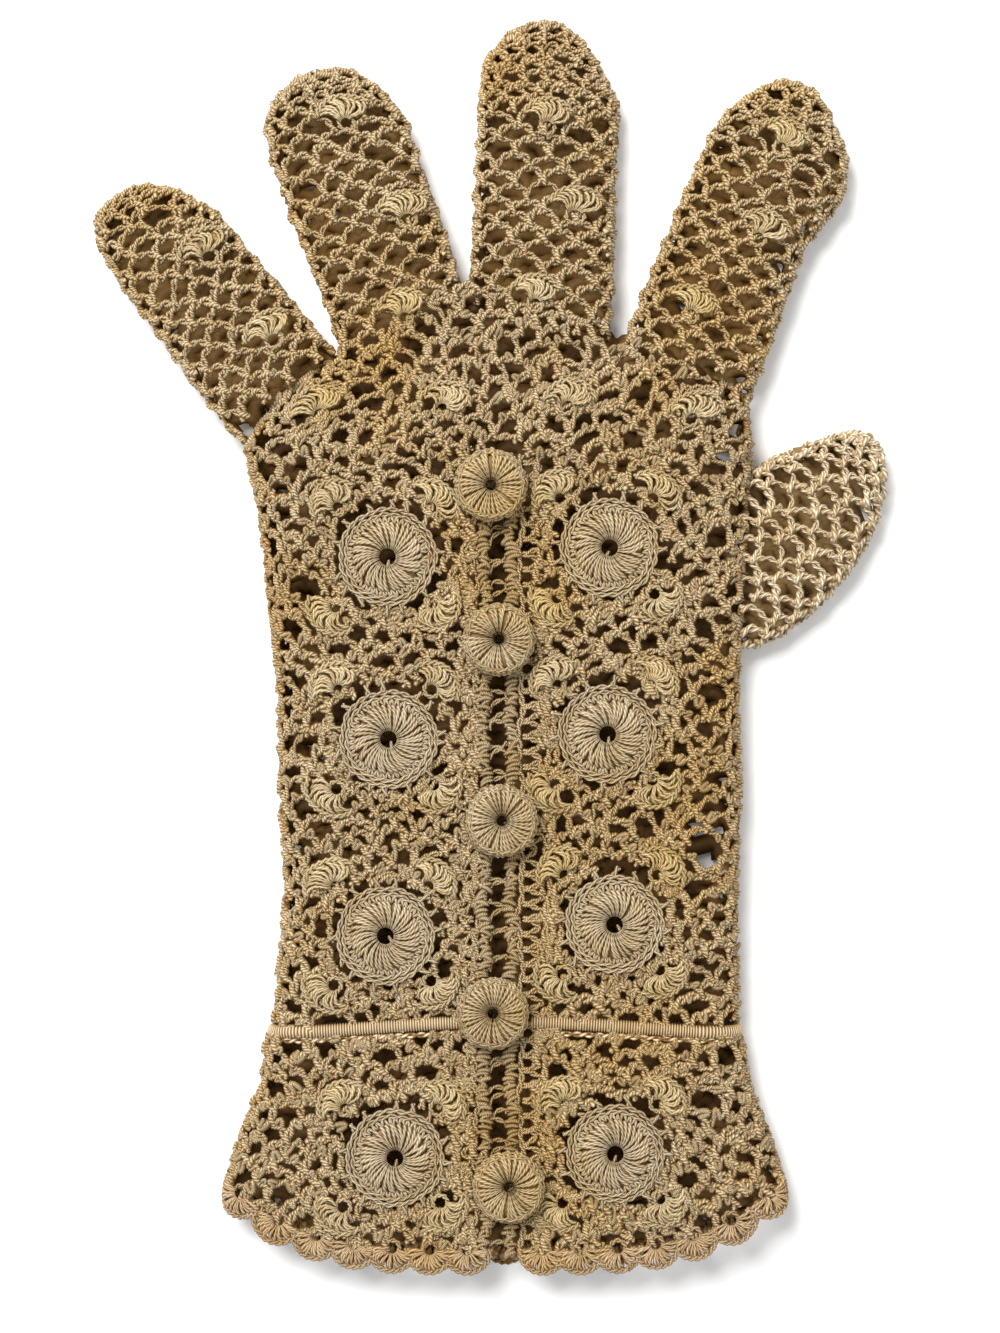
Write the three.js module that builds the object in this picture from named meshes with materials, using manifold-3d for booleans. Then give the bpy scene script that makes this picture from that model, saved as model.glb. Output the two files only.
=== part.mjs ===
// A crochet glove for the left hand, laid flat on its palm side with the back of the hand up.
// Millimetres. +X is toward the thumb, +Y toward the fingertips, +Z up from the table.
// The origin is on the underside of the palm, in the middle of the hand.

import * as THREE from "three";
import { mergeVertices } from "three/addons/utils/BufferGeometryUtils.js";
import Module from "manifold-3d";

const wasm = await Module();
wasm.setup();

// Overall sizes
const PALM_WIDTH = 96; // side to side at the medallions, laid flat
const HAND_LENGTH = 142; // from the wrist cord to the fork of the ring and middle fingers
const FINGER_LENGTH = 60; // middle finger, from its fork to its tip
const FINGER_WIDTH = 29.6; // middle finger, laid flat
const CUFF_LENGTH = 44; // from the wrist cord to the scallops, at the centre back
const PALM_HEIGHT = 12; // thickness of the empty glove at the knuckles
const WRIST_HEIGHT = 10; // thickness at the wrist cord
const FINGER_HEIGHT = 10; // thickness of an empty finger
const THUMB_HEIGHT = 8.4;
const WALL = 1.5; // one layer of the crochet
const CLEAR = 0.3; // between pieces that are sewn to each other
const SIDE_ROLL = 8.5; // how far in from a side fold the cloth has become flat

// Trimmings
const MEDALLION_RADIUS = 11.3;
const MEDALLION_HEIGHT = 1.9; // the padded ring above the cloth
const BUTTON_RADIUS = 7.3;
const BUTTON_HEIGHT = 4;
const BAND_WIDTH = 6; // each of the two bands at the centre back opening
const BAND_HEIGHT = 0.6; // the bands above the cloth
const BAND_SPLIT = 0.6; // between the two bands
const CORD_WIDTH = 3.1; // the wrapped cord round the wrist
const CORD_HEIGHT = 0.8; // the cord above the cloth
const SCALLOP_LENGTH = 5; // the small fans along the hem
const SCALLOP_COUNT = 15; // in one layer, from fold to fold
const GAP_WIDTH = 4.4; // one open mesh of the net
const GAP_LENGTH = 4.8;

// The wrist cord lies this far from the origin.
const WRIST_SHARE = 0.481; // share of HAND_LENGTH
const wristY = -WRIST_SHARE * HAND_LENGTH;

// Cross-section of a flattened tube, one side fold from the underside to the top:
// [share of the side roll in from the fold, share of the height]
const FOLD = [
  [1, 0],
  [0.42, 0.07],
  [0.06, 0.3],
  [0.03, 0.62],
  [0.36, 0.92],
  [1, 1],
];

const KNUCKLES = 0.848; // share of HAND_LENGTH above the cord where the hand is thickest

// Outline of the hand:
// [share of HAND_LENGTH above the wrist cord, left and right edge as shares of PALM_WIDTH]
const HAND = [
  [-0.02, -0.503, 0.503],
  [0.2, -0.474, 0.5],
  [0.37, -0.487, 0.508],
  [0.5, -0.489, 0.501],
  [0.63, -0.51, 0.512],
  [0.745, -0.527, 0.521],
  [KNUCKLES, -0.56, 0.53],
  [0.92, -0.49, 0.52],
  [0.98, -0.36, 0.4],
];

// Forks and outer corners at the roots of the fingers, from the little finger to the index:
// [share of PALM_WIDTH, share of HAND_LENGTH above the wrist cord, way out in degrees from +Y]
const FORKS = [
  [-0.575, 0.863, -62],
  [-0.358, 0.995, -27],
  [-0.076, 1.077, -8],
  [0.254, 1.002, 11],
  [0.532, 0.921, 55],
];

// The fingers and the thumb: where the middle of the root lies, the lean in degrees from +Y,
// and the length as a share of FINGER_LENGTH
const FINGERS = [
  { name: "finger_little", x: -0.467, y: 0.928, lean: -37.4, length: 0.897 },
  { name: "finger_ring", x: -0.217, y: 1.04, lean: -16.4, length: 0.887 },
  { name: "finger_middle", x: 0.082, y: 1.042, lean: 1.2, length: 1.007 },
  { name: "finger_index", x: 0.397, y: 0.962, lean: 20.5, length: 1.053 },
];
const THUMB = { name: "thumb", x: 0.521, y: 0.687, lean: 45.7, length: 0.597 };

// Outline of each finger:
// [share of its length, left and right edge as shares of FINGER_WIDTH,
//  share of its height, share of its height that it is lifted off the table]
const OUTLINES = {
  finger_little: [
    [-0.4, -0.44, 0.42, 0.92, 0],
    [0.05, -0.495, 0.432, 1, 0],
    [0.5, -0.48, 0.4, 0.97, 0],
    [0.72, -0.478, 0.375, 0.94, 0],
    [0.86, -0.44, 0.265, 0.84, 0.04],
    [0.95, -0.385, 0.13, 0.66, 0.12],
    [1, -0.3, 0.01, 0.4, 0.26],
  ],
  finger_ring: [
    [-0.4, -0.46, 0.44, 0.92, 0],
    [0.1, -0.505, 0.45, 1, 0],
    [0.5, -0.57, 0.42, 0.97, 0],
    [0.72, -0.592, 0.412, 0.94, 0],
    [0.86, -0.565, 0.3, 0.84, 0.04],
    [0.95, -0.43, 0.17, 0.66, 0.12],
    [1, -0.25, 0.03, 0.4, 0.26],
  ],
  finger_middle: [
    [-0.35, -0.48, 0.46, 0.92, 0],
    [0.1, -0.515, 0.485, 1, 0],
    [0.5, -0.497, 0.49, 0.97, 0],
    [0.72, -0.48, 0.495, 0.94, 0],
    [0.86, -0.455, 0.35, 0.84, 0.04],
    [0.945, -0.31, 0.22, 0.66, 0.12],
    [1, -0.11, 0.07, 0.4, 0.26],
  ],
  finger_index: [
    [-0.35, -0.46, 0.46, 0.92, 0],
    [0.1, -0.505, 0.475, 1, 0],
    [0.5, -0.473, 0.46, 0.97, 0],
    [0.7, -0.455, 0.595, 0.94, 0],
    [0.82, -0.405, 0.53, 0.87, 0.03],
    [0.94, -0.23, 0.29, 0.66, 0.12],
    [1, -0.09, 0.13, 0.4, 0.26],
  ],
  thumb: [
    [-0.5, -0.47, 0.37, 0.96, 0],
    [-0.2, -0.52, 0.555, 1, 0],
    [0.1, -0.5, 0.6, 1, 0],
    [0.4, -0.42, 0.57, 0.98, 0],
    [0.64, -0.32, 0.485, 0.94, 0],
    [0.83, -0.215, 0.345, 0.84, 0.05],
    [0.94, -0.14, 0.21, 0.66, 0.14],
    [1, -0.03, 0.09, 0.4, 0.28],
  ],
};

// Outline of the cuff and hem: [share of CUFF_LENGTH below the wrist cord, half width as a
// share of PALM_WIDTH]
const CUFF = [
  [-0.08, 0.505],
  [0.25, 0.528],
  [0.45, 0.566],
  [0.68, 0.6],
  [1.2, 0.64],
];
// The hem bows up toward the side folds.
const HEM_BOW = 0.34; // share of CUFF_LENGTH
const HEM_REACH = 0.602; // share of PALM_WIDTH to each side
// One scallop: [share of its width, share of SCALLOP_LENGTH]
const SCALLOP = [
  [0, 0.55],
  [0.2, 0.93],
  [0.5, 1],
  [0.8, 0.93],
];

// Medallions: [share of PALM_WIDTH, share of HAND_LENGTH above the wrist cord]
const MEDALLIONS = [
  [-0.249, 0.687],
  [-0.247, 0.426],
  [-0.254, 0.144],
  [-0.234, -0.176],
  [0.221, 0.7],
  [0.217, 0.433],
  [0.232, 0.16],
  [0.234, -0.17],
];
// Profile of a medallion, closed on itself round its small hole:
// [share of the radius, share of the height above the cloth, walls below the cloth]
const MEDALLION = [
  [1, 0, 1],
  [1, 0.06, 0],
  [0.74, 0.22, 0],
  [0.64, 0.86, 0],
  [0.38, 1, 0],
  [0.2, 0.4, 0],
  [0.2, 0, 1],
];
const MEDALLION_SIDES = 14;

// Buttons: [share of PALM_WIDTH, share of HAND_LENGTH above the wrist cord]
const BUTTONS = [
  [-0.03, 0.789],
  [-0.013, 0.569],
  [-0.007, 0.31],
  [-0.026, 0.034],
  [0.008, -0.215],
];
// Profile of a button, from its back to the dimple in its face: [share of radius, of height]
const BUTTON = [
  [0, 0],
  [0.78, 0],
  [1, 0.34],
  [0.88, 0.8],
  [0.58, 1],
  [0.24, 0.76],
  [0.14, 0.42],
  [0, 0.4],
];
const BUTTON_SIDES = 12;

// Open meshes in a finger: [share of its length, place across as a share of FINGER_WIDTH]
const FINGER_GAPS = [
  [0.1, -0.22],
  [0.1, 0.02],
  [0.1, 0.26],
  [0.22, -0.34],
  [0.22, -0.1],
  [0.22, 0.14],
  [0.34, -0.22],
  [0.34, 0.02],
  [0.34, 0.26],
  [0.46, -0.34],
  [0.46, -0.1],
  [0.46, 0.14],
  [0.58, -0.22],
  [0.58, 0.02],
  [0.58, 0.26],
  [0.7, -0.34],
  [0.7, -0.1],
  [0.7, 0.14],
];
const THUMB_GAPS = [
  [0.34, -0.14],
  [0.34, 0.1],
  [0.34, 0.34],
  [0.56, -0.02],
  [0.56, 0.22],
];
// Open meshes between the medallions: [share of PALM_WIDTH, share of HAND_LENGTH]
const HAND_GAPS = [
  [-0.29, 0.91],
  [-0.06, 0.95],
  [0.07, 0.95],
  [0.29, 0.92],
  [-0.4, 0.83],
  [-0.25, 0.83],
  [0.2, 0.85],
  [0.35, 0.83],
  [-0.42, 0.69],
  [-0.25, 0.557],
  [-0.4, 0.555],
  [-0.42, 0.43],
  [-0.25, 0.285],
  [-0.4, 0.285],
  [-0.42, 0.14],
  [0.41, 0.7],
  [0.22, 0.567],
  [0.4, 0.565],
  [0.41, 0.43],
  [0.225, 0.297],
  [0.4, 0.3],
  [0.41, 0.16],
];
const CUFF_GAPS = [
  [-0.42, -0.09],
  [-0.24, -0.055],
  [-0.41, -0.19],
  [0.42, -0.09],
  [0.24, -0.055],
  [0.41, -0.19],
];

// Shell fans, raised a little above the net. Each opens toward its turn, in degrees from +Y.
const FAN_WIDTH = 9;
const FAN_LENGTH = 7;
const FAN_HEIGHT = 0.7;
// One fan: [share of FAN_WIDTH across, share of FAN_LENGTH along]
const FAN = [
  [0, -0.5],
  [0.5, 0],
  [0.3, 0.5],
  [-0.3, 0.5],
  [-0.5, 0],
];
// Four fans stand round each medallion: share of PALM_WIDTH to each side, share of
// HAND_LENGTH above and below, turn of the upper and of the lower fan away from upright
const FANS_ROUND = [
  [-0.12, 0.083, -38],
  [0.105, 0.083, 38],
  [-0.125, -0.084, -142],
  [0.11, -0.078, 142],
];
// Fans at the roots of the fingers: [share of PALM_WIDTH, share of HAND_LENGTH, turn]
const ROOT_FANS = [
  [-0.4, 0.905, -30],
  [-0.126, 0.914, 8],
  [0.137, 0.918, 0],
  [0.402, 0.9, 0],
];
// Fans on the fingers: [share of its length, place across as a share of FINGER_WIDTH]
const FINGER_FANS = {
  finger_little: [
    [0.22, 0.14],
    [0.62, 0.13],
  ],
  finger_ring: [
    [0.02, 0],
    [0.38, 0.2],
    [0.8, -0.02],
  ],
  finger_middle: [
    [0.06, -0.06],
    [0.36, 0.2],
    [0.66, 0],
  ],
  finger_index: [
    [0.19, -0.13],
    [0.5, 0.12],
    [0.8, 0.05],
  ],
};

// Small helpers

const lerp = THREE.MathUtils.lerp;
const degrees = THREE.MathUtils.degToRad;

function thread(color, roughness) {
  return new THREE.MeshStandardMaterial({ color, roughness, metalness: 0 });
}

function solidOf(geometry) {
  const g = geometry.index ? geometry.toNonIndexed() : geometry.clone();
  g.deleteAttribute("normal");
  g.deleteAttribute("uv");
  const merged = mergeVertices(g, 1e-4);
  return new wasm.Manifold(
    new wasm.Mesh({
      numProp: 3,
      vertProperties: new Float32Array(merged.attributes.position.array),
      triVerts: new Uint32Array(merged.index.array),
    }),
  );
}

function meshOf(name, solid, material) {
  const m = solid.getMesh();
  const positions = new Float32Array(m.numVert * 3);
  for (let i = 0; i < m.numVert; i++) {
    positions.set(m.vertProperties.subarray(i * m.numProp, i * m.numProp + 3), i * 3);
  }
  const geometry = new THREE.BufferGeometry();
  geometry.setAttribute("position", new THREE.BufferAttribute(positions, 3));
  geometry.setIndex(new THREE.BufferAttribute(new Uint32Array(m.triVerts), 1));
  const mesh = new THREE.Mesh(geometry, material);
  mesh.name = name;
  return mesh;
}

function union(solids) {
  return solids.reduce((a, b) => a.add(b));
}

function cut(solid, tools) {
  return tools.reduce((a, b) => a.subtract(b), solid);
}

// The cross-section as a shape: |u| is 1 where the roll begins and 2 at the fold.
function sectionShape() {
  const side = FOLD.map(([inward, z]) => [2 - inward, z]);
  const points = [...side, ...side.map(([u, z]) => [-u, z]).reverse()];
  return new THREE.Shape(points.map(([u, z]) => new THREE.Vector2(u, z)));
}

// A flattened tube through rows of { along, left, right, low, high }, placed with its axis
// along the lean from (x, y).
function tube(rows, { x = 0, y = 0, lean = 0 } = {}) {
  const steps = rows.length - 1;
  const geometry = new THREE.ExtrudeGeometry(sectionShape(), {
    depth: steps,
    steps,
    bevelEnabled: false,
  });
  const p = geometry.attributes.position;
  const s = Math.sin(degrees(lean));
  const c = Math.cos(degrees(lean));
  for (let i = 0; i < p.count; i++) {
    const row = rows[Math.round(p.getZ(i))];
    const middle = (row.left + row.right) / 2;
    const half = (row.right - row.left) / 2;
    const roll = Math.min(SIDE_ROLL, 0.62 * half);
    const u = p.getX(i);
    const over = middle + Math.sign(u) * (half - (2 - Math.abs(u)) * roll);
    const z = lerp(row.low, row.high, p.getY(i));
    p.setXYZ(i, x + over * c + row.along * s, y - over * s + row.along * c, z);
  }
  // The mapping turns the solid inside out, so each triangle is turned back.
  const index = [];
  for (let i = 0; i < p.count; i += 3) index.push(i, i + 2, i + 1);
  geometry.setIndex(index);
  return solidOf(geometry);
}

// Thickness of the hand and cuff: one even slope from the hem to the knuckles, so that the
// bands, buttons and medallions lie flat on it, then down to the fingers.
const slope = (PALM_HEIGHT - WRIST_HEIGHT) / (KNUCKLES * HAND_LENGTH);
function thickness(aboveWrist) {
  const knuckles = KNUCKLES * HAND_LENGTH;
  if (aboveWrist <= knuckles) return WRIST_HEIGHT + slope * aboveWrist;
  const end = HAND[HAND.length - 1][0] * HAND_LENGTH;
  const t = (aboveWrist - knuckles) / (end - knuckles);
  return lerp(PALM_HEIGHT, FINGER_HEIGHT * 0.95, t);
}

function handTube(grow) {
  const rows = HAND.map(([at, left, right], i) => {
    const end = i === HAND.length - 1 ? grow : i === 0 ? -2 * WALL : 0;
    return {
      along: at * HAND_LENGTH + end,
      left: left * PALM_WIDTH - grow,
      right: right * PALM_WIDTH + grow,
      low: -grow,
      high: thickness(at * HAND_LENGTH) + grow,
    };
  });
  return tube(rows, { y: wristY });
}

function cuffTube(grow) {
  const rows = CUFF.map(([at, half]) => ({
    along: -at * CUFF_LENGTH,
    left: -half * PALM_WIDTH - grow,
    right: half * PALM_WIDTH + grow,
    low: -grow,
    high: thickness(-at * CUFF_LENGTH) + grow,
  }));
  if (grow < 0) {
    rows[0].along += WALL;
    rows[rows.length - 1].along -= WALL;
  }
  return tube(rows.reverse(), { y: wristY });
}

function fingerFrame(finger) {
  return { x: finger.x * PALM_WIDTH, y: wristY + finger.y * HAND_LENGTH, lean: finger.lean };
}

function fingerTube(finger, height, grow) {
  const length = finger.length * FINGER_LENGTH + grow;
  const rows = OUTLINES[finger.name].map(([at, left, right, tall, lift]) => {
    const low = lift * height - grow;
    return {
      along: at * length,
      left: left * FINGER_WIDTH - grow,
      right: right * FINGER_WIDTH + grow,
      low,
      high: Math.max(low + 0.4 * WALL, (lift + tall) * height + grow),
    };
  });
  return tube(rows, fingerFrame(finger));
}

function prism(points, low, high) {
  const shape = new THREE.Shape(points.map(([x, y]) => new THREE.Vector2(x, y)));
  const geometry = new THREE.ExtrudeGeometry(shape, { depth: high - low, bevelEnabled: false });
  return geometry.translate(0, 0, low);
}

// The plan beyond a finger's root line. clear draws it in from the hand and the neighbours.
function beyondRoot(i, clear) {
  const far = 3 * FINGER_LENGTH;
  const corner = (k, toward) => {
    const [fx, fy, way] = FORKS[k];
    const a = degrees(way);
    const x = fx * PALM_WIDTH;
    const y = wristY + fy * HAND_LENGTH;
    const side = toward * clear * 0.5;
    return {
      near: [x + side * Math.cos(a), y - side * Math.sin(a)],
      far: [x + side * Math.cos(a) + far * Math.sin(a), y - side * Math.sin(a) + far * Math.cos(a)],
    };
  };
  const a = corner(i, 1);
  const b = corner(i + 1, -1);
  const lean = degrees(FINGERS[i].lean);
  const step = [clear * Math.sin(lean), clear * Math.cos(lean)];
  const moved = (p) => [p[0] + step[0], p[1] + step[1]];
  return solidOf(prism([moved(a.near), a.far, b.far, moved(b.near)], -PALM_HEIGHT, 4 * PALM_HEIGHT));
}

// A diamond mesh cut down through the upper layer.
function diamond(x, y, lean, low, high) {
  const w = GAP_WIDTH / 2;
  const l = GAP_LENGTH / 2;
  const c = Math.cos(degrees(lean));
  const s = Math.sin(degrees(lean));
  const corners = [
    [w, 0],
    [0, l],
    [-w, 0],
    [0, -l],
  ];
  const points = corners.map(([u, v]) => [x + u * c + v * s, y - u * s + v * c]);
  return solidOf(prism(points, low, high));
}

function fingerGaps(finger, table, height) {
  const { x, y, lean } = fingerFrame(finger);
  const s = Math.sin(degrees(lean));
  const c = Math.cos(degrees(lean));
  const place = ([at, over]) => [over * FINGER_WIDTH, at * finger.length * FINGER_LENGTH];
  const fans = (FINGER_FANS[finger.name] || []).map(place);
  const open = table
    .map(place)
    .filter(([u, v]) => fans.every(([a, b]) => Math.hypot(u - a, v - b) > FAN_WIDTH * 0.8));
  return open.map(([u, v]) =>
    diamond(x + u * c + v * s, y - u * s + v * c, lean, height / 2, 2 * height),
  );
}

function handGaps(table) {
  return table.map(([x, y]) =>
    diamond(x * PALM_WIDTH, wristY + y * HAND_LENGTH, 0, WRIST_HEIGHT / 2, 2 * PALM_HEIGHT),
  );
}

// The frame of the sloping back of the hand: its XY plane lies in the cloth's upper face.
const back = new THREE.Group();
back.position.set(0, wristY, WRIST_HEIGHT);
back.rotation.x = Math.atan(slope);
back.updateMatrixWorld();

function onBack(geometry) {
  return solidOf(geometry.applyMatrix4(back.matrixWorld));
}

function medallionHole([x, y]) {
  const hole = new THREE.CylinderGeometry(
    MEDALLION_RADIUS + CLEAR,
    MEDALLION_RADIUS + CLEAR,
    6 * WALL,
    MEDALLION_SIDES,
  );
  hole.rotateX(Math.PI / 2);
  return onBack(hole.translate(x * PALM_WIDTH, y * HAND_LENGTH, 0));
}

const bandTop = BUTTONS[0][1] * HAND_LENGTH + BUTTON_RADIUS;
const bandBottom = -CUFF_LENGTH - SCALLOP_LENGTH / 2;
function backBox(x0, x1, y0, y1, z0, z1) {
  const box = new THREE.BoxGeometry(x1 - x0, y1 - y0, z1 - z0);
  return box.translate((x0 + x1) / 2, (y0 + y1) / 2, (z0 + z1) / 2);
}

// The opening down the centre back that the two bands fill
const slotHalf = BAND_SPLIT / 2 + BAND_WIDTH + CLEAR;
const slot = onBack(
  backBox(
    -slotHalf,
    slotHalf,
    -2 * (CUFF_LENGTH + SCALLOP_LENGTH),
    bandTop + CLEAR,
    -2 * WALL,
    3 * WALL,
  ),
);

const cord = CORD_WIDTH / 2 + CLEAR;
function below(y) {
  const side = 2 * PALM_WIDTH;
  return solidOf(backBox(-side, side, y - 3 * HAND_LENGTH, y, -PALM_HEIGHT, 4 * PALM_HEIGHT));
}

// The hand: the palm with the roots of the fingers, one layer thick, open at the wrist, at
// each finger, at the thumb and down the centre back.
const tubes = FINGERS.map((finger) => fingerTube(finger, FINGER_HEIGHT, 0));
const hollows = FINGERS.map((finger) => fingerTube(finger, FINGER_HEIGHT, -WALL));
const thumbTube = fingerTube(THUMB, THUMB_HEIGHT, 0);
const thumbHollow = fingerTube(THUMB, THUMB_HEIGHT, -WALL);

// A fan as a low pad on the sloping back, or on a finger
function fanPad(x, y, turn, low, high) {
  const c = Math.cos(degrees(turn));
  const s = Math.sin(degrees(turn));
  const points = FAN.map(([u, v]) => {
    const a = u * FAN_WIDTH;
    const b = v * FAN_LENGTH;
    return [x + a * c + b * s, y - a * s + b * c];
  });
  return prism(points, low, high);
}

function fansRound([x, y]) {
  return FANS_ROUND.map(([u, v, turn]) =>
    onBack(
      fanPad((x + u) * PALM_WIDTH, (y + v) * HAND_LENGTH, turn, -WALL / 2, FAN_HEIGHT),
    ),
  );
}

function rootFans() {
  return ROOT_FANS.map(([x, y, turn]) => {
    const top = thickness(y * HAND_LENGTH);
    const at = wristY + y * HAND_LENGTH;
    return solidOf(fanPad(x * PALM_WIDTH, at, turn, top - WALL, top + FAN_HEIGHT));
  });
}

function fingerFans(finger, height) {
  const { x, y, lean } = fingerFrame(finger);
  const s = Math.sin(degrees(lean));
  const c = Math.cos(degrees(lean));
  return FINGER_FANS[finger.name].map(([at, over]) => {
    const v = at * finger.length * FINGER_LENGTH;
    const u = over * FINGER_WIDTH;
    const outline = OUTLINES[finger.name];
    const next = outline.findIndex((row) => row[0] > at);
    const [a, b] = [outline[next - 1], outline[next]];
    const tall = lerp(a[3] + a[4], b[3] + b[4], (at - a[0]) / (b[0] - a[0])) * height;
    const pad = fanPad(x + u * c + v * s, y - u * s + v * c, lean, tall - WALL, tall + FAN_HEIGHT);
    return solidOf(pad);
  });
}

const handFans = MEDALLIONS.filter(([, y]) => y > 0).flatMap(fansRound);
const cuffFans = MEDALLIONS.filter(([, y]) => y < 0).flatMap(fansRound);

const handSolid = cut(union([handTube(0), ...tubes, ...handFans, ...rootFans()]), [
  union([handTube(-WALL), ...hollows]),
  thumbHollow,
  ...FINGERS.map((finger, i) => beyondRoot(i, 0)),
  below(wristY + cord),
  slot,
  ...MEDALLIONS.map(medallionHole),
  ...handGaps(HAND_GAPS),
]);

// The fingers: closed at the tip and open at the root.
const fingerSolids = FINGERS.map((finger, i) =>
  cut(union([tubes[i], ...fingerFans(finger, FINGER_HEIGHT)]).intersect(beyondRoot(i, CLEAR)), [
    hollows[i],
    ...fingerGaps(finger, FINGER_GAPS, FINGER_HEIGHT),
  ]),
);

// The thumb: comes out from under the side fold of the hand.
const thumbSolid = cut(thumbTube, [
  handTube(CLEAR),
  thumbHollow,
  ...fingerGaps(THUMB, THUMB_GAPS, THUMB_HEIGHT),
]);

// A point on the hem line. across runs from -1 at one fold to 1 at the other, and out is
// the distance below the line.
function hemPoint(across, out) {
  const reach = HEM_REACH * PALM_WIDTH;
  const rise = HEM_BOW * CUFF_LENGTH;
  const turn = Math.atan((4 * rise * across ** 3) / reach);
  const y = wristY - CUFF_LENGTH + rise * across ** 4;
  return [across * reach + out * Math.sin(turn), y - out * Math.cos(turn)];
}

const hemLine = Array.from({ length: SCALLOP_COUNT + 1 }, (_, k) => (2 * k) / SCALLOP_COUNT - 1);
hemLine[0] -= 0.06;
hemLine[SCALLOP_COUNT] += 0.06;
const scallops = Array.from({ length: SCALLOP_COUNT }, (_, k) =>
  SCALLOP.map(([u, v]) =>
    hemPoint((2 * (k + u)) / SCALLOP_COUNT - 1, v * SCALLOP_LENGTH),
  ),
).flat();
scallops[0] = hemPoint(-1.06, 0.55 * SCALLOP_LENGTH);
scallops.push(hemPoint(1.06, 0.55 * SCALLOP_LENGTH));

const cuffPlan = [
  ...hemLine.map((across) => hemPoint(across, 0)),
  [2 * PALM_WIDTH, wristY - cord],
  [-2 * PALM_WIDTH, wristY - cord],
];
const hemPlan = [
  ...scallops,
  ...hemLine.map((across) => hemPoint(across, CLEAR)).reverse(),
];

// The cuff: flares from the wrist cord to a bowed hem, split at the centre back.
const cuffWhole = union([cuffTube(0), ...cuffFans]);
const cuffHollow = cuffTube(-WALL);
const cuffSolid = cut(cuffWhole.intersect(solidOf(prism(cuffPlan, -PALM_HEIGHT, 4 * PALM_HEIGHT))), [
  cuffHollow,
  slot,
  ...MEDALLIONS.map(medallionHole),
  ...handGaps(CUFF_GAPS),
]);

// The hem: a row of small round-ended fans, side by side along the edge of both layers.
const hemSolid = cut(cuffTube(0).intersect(solidOf(prism(hemPlan, -PALM_HEIGHT, 4 * PALM_HEIGHT))), [
  cuffHollow,
  slot,
]);

// The wrist cord: a wrapped bar round the wrist, from one band to the other.
const cordRows = [
  [-0.5, 0.1],
  [-0.25, 0.85],
  [0.25, 0.85],
  [0.5, 0.1],
].map(([at, rise]) => ({
  along: at * CORD_WIDTH,
  left: -CUFF[0][1] * PALM_WIDTH - rise * CORD_HEIGHT,
  right: CUFF[0][1] * PALM_WIDTH + rise * CORD_HEIGHT,
  low: 0,
  high: WRIST_HEIGHT + rise * CORD_HEIGHT,
}));
const cordHollow = [-1, 1].map((at) => ({
  along: at * CORD_WIDTH,
  left: -CUFF[0][1] * PALM_WIDTH + WALL,
  right: CUFF[0][1] * PALM_WIDTH - WALL,
  low: WALL,
  high: WRIST_HEIGHT - WALL,
}));
const cordSolid = cut(tube(cordRows, { y: wristY }), [tube(cordHollow, { y: wristY }), slot]);

const glove = new THREE.Group();
const cotton = () => thread(0xc6ab7c, 0.7);
glove.add(meshOf("hand", handSolid, cotton()));
FINGERS.forEach((finger, i) => glove.add(meshOf(finger.name, fingerSolids[i], cotton())));
glove.add(meshOf("thumb", thumbSolid, thread(0xbfa47a, 0.7)));
glove.add(meshOf("cuff", cuffSolid, cotton()));
glove.add(meshOf("cuff_hem", hemSolid, thread(0xc3a679, 0.7)));
glove.add(meshOf("wrist_cord", cordSolid, thread(0xcbb184, 0.6)));
glove.add(back);

// The two bands, face to face at the centre back
[-1, 1].forEach((side) => {
  const inner = (side * BAND_SPLIT) / 2;
  const outer = side * (BAND_SPLIT / 2 + BAND_WIDTH);
  const [x0, x1] = side < 0 ? [outer, inner] : [inner, outer];
  const band = new THREE.Mesh(
    backBox(x0, x1, bandBottom, bandTop, -WALL, BAND_HEIGHT),
    thread(0xc2a676, 0.7),
  );
  band.name = side < 0 ? "band_left" : "band_right";
  back.add(band);
});

// The medallions, each sewn into its round opening in the cloth
MEDALLIONS.forEach(([x, y], i) => {
  const profile = MEDALLION.map(
    ([r, z, walls]) =>
      new THREE.Vector2(r * MEDALLION_RADIUS, z * MEDALLION_HEIGHT - walls * WALL),
  );
  profile.push(profile[0].clone());
  const ring = new THREE.LatheGeometry(profile, MEDALLION_SIDES).rotateX(Math.PI / 2);
  const mesh = new THREE.Mesh(ring, thread(0xcab182, 0.6));
  mesh.name = "medallion_" + (i + 1);
  mesh.position.set(x * PALM_WIDTH, y * HAND_LENGTH, 0);
  back.add(mesh);
});

// The buttons: padded rings worked over with thread, sewn onto the bands
BUTTONS.forEach(([x, y], i) => {
  const profile = BUTTON.map(([r, z]) => new THREE.Vector2(r * BUTTON_RADIUS, z * BUTTON_HEIGHT));
  const dome = new THREE.LatheGeometry(profile, BUTTON_SIDES).rotateX(Math.PI / 2);
  const mesh = new THREE.Mesh(dome, thread(0xcdb386, 0.6));
  mesh.name = "button_" + (i + 1);
  mesh.position.set(x * PALM_WIDTH, y * HAND_LENGTH, BAND_HEIGHT + CLEAR);
  back.add(mesh);
});

export default glove;
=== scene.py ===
"""A crocheted lace glove, laid flat with the back of the hand up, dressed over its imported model."""

from functools import partial

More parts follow.
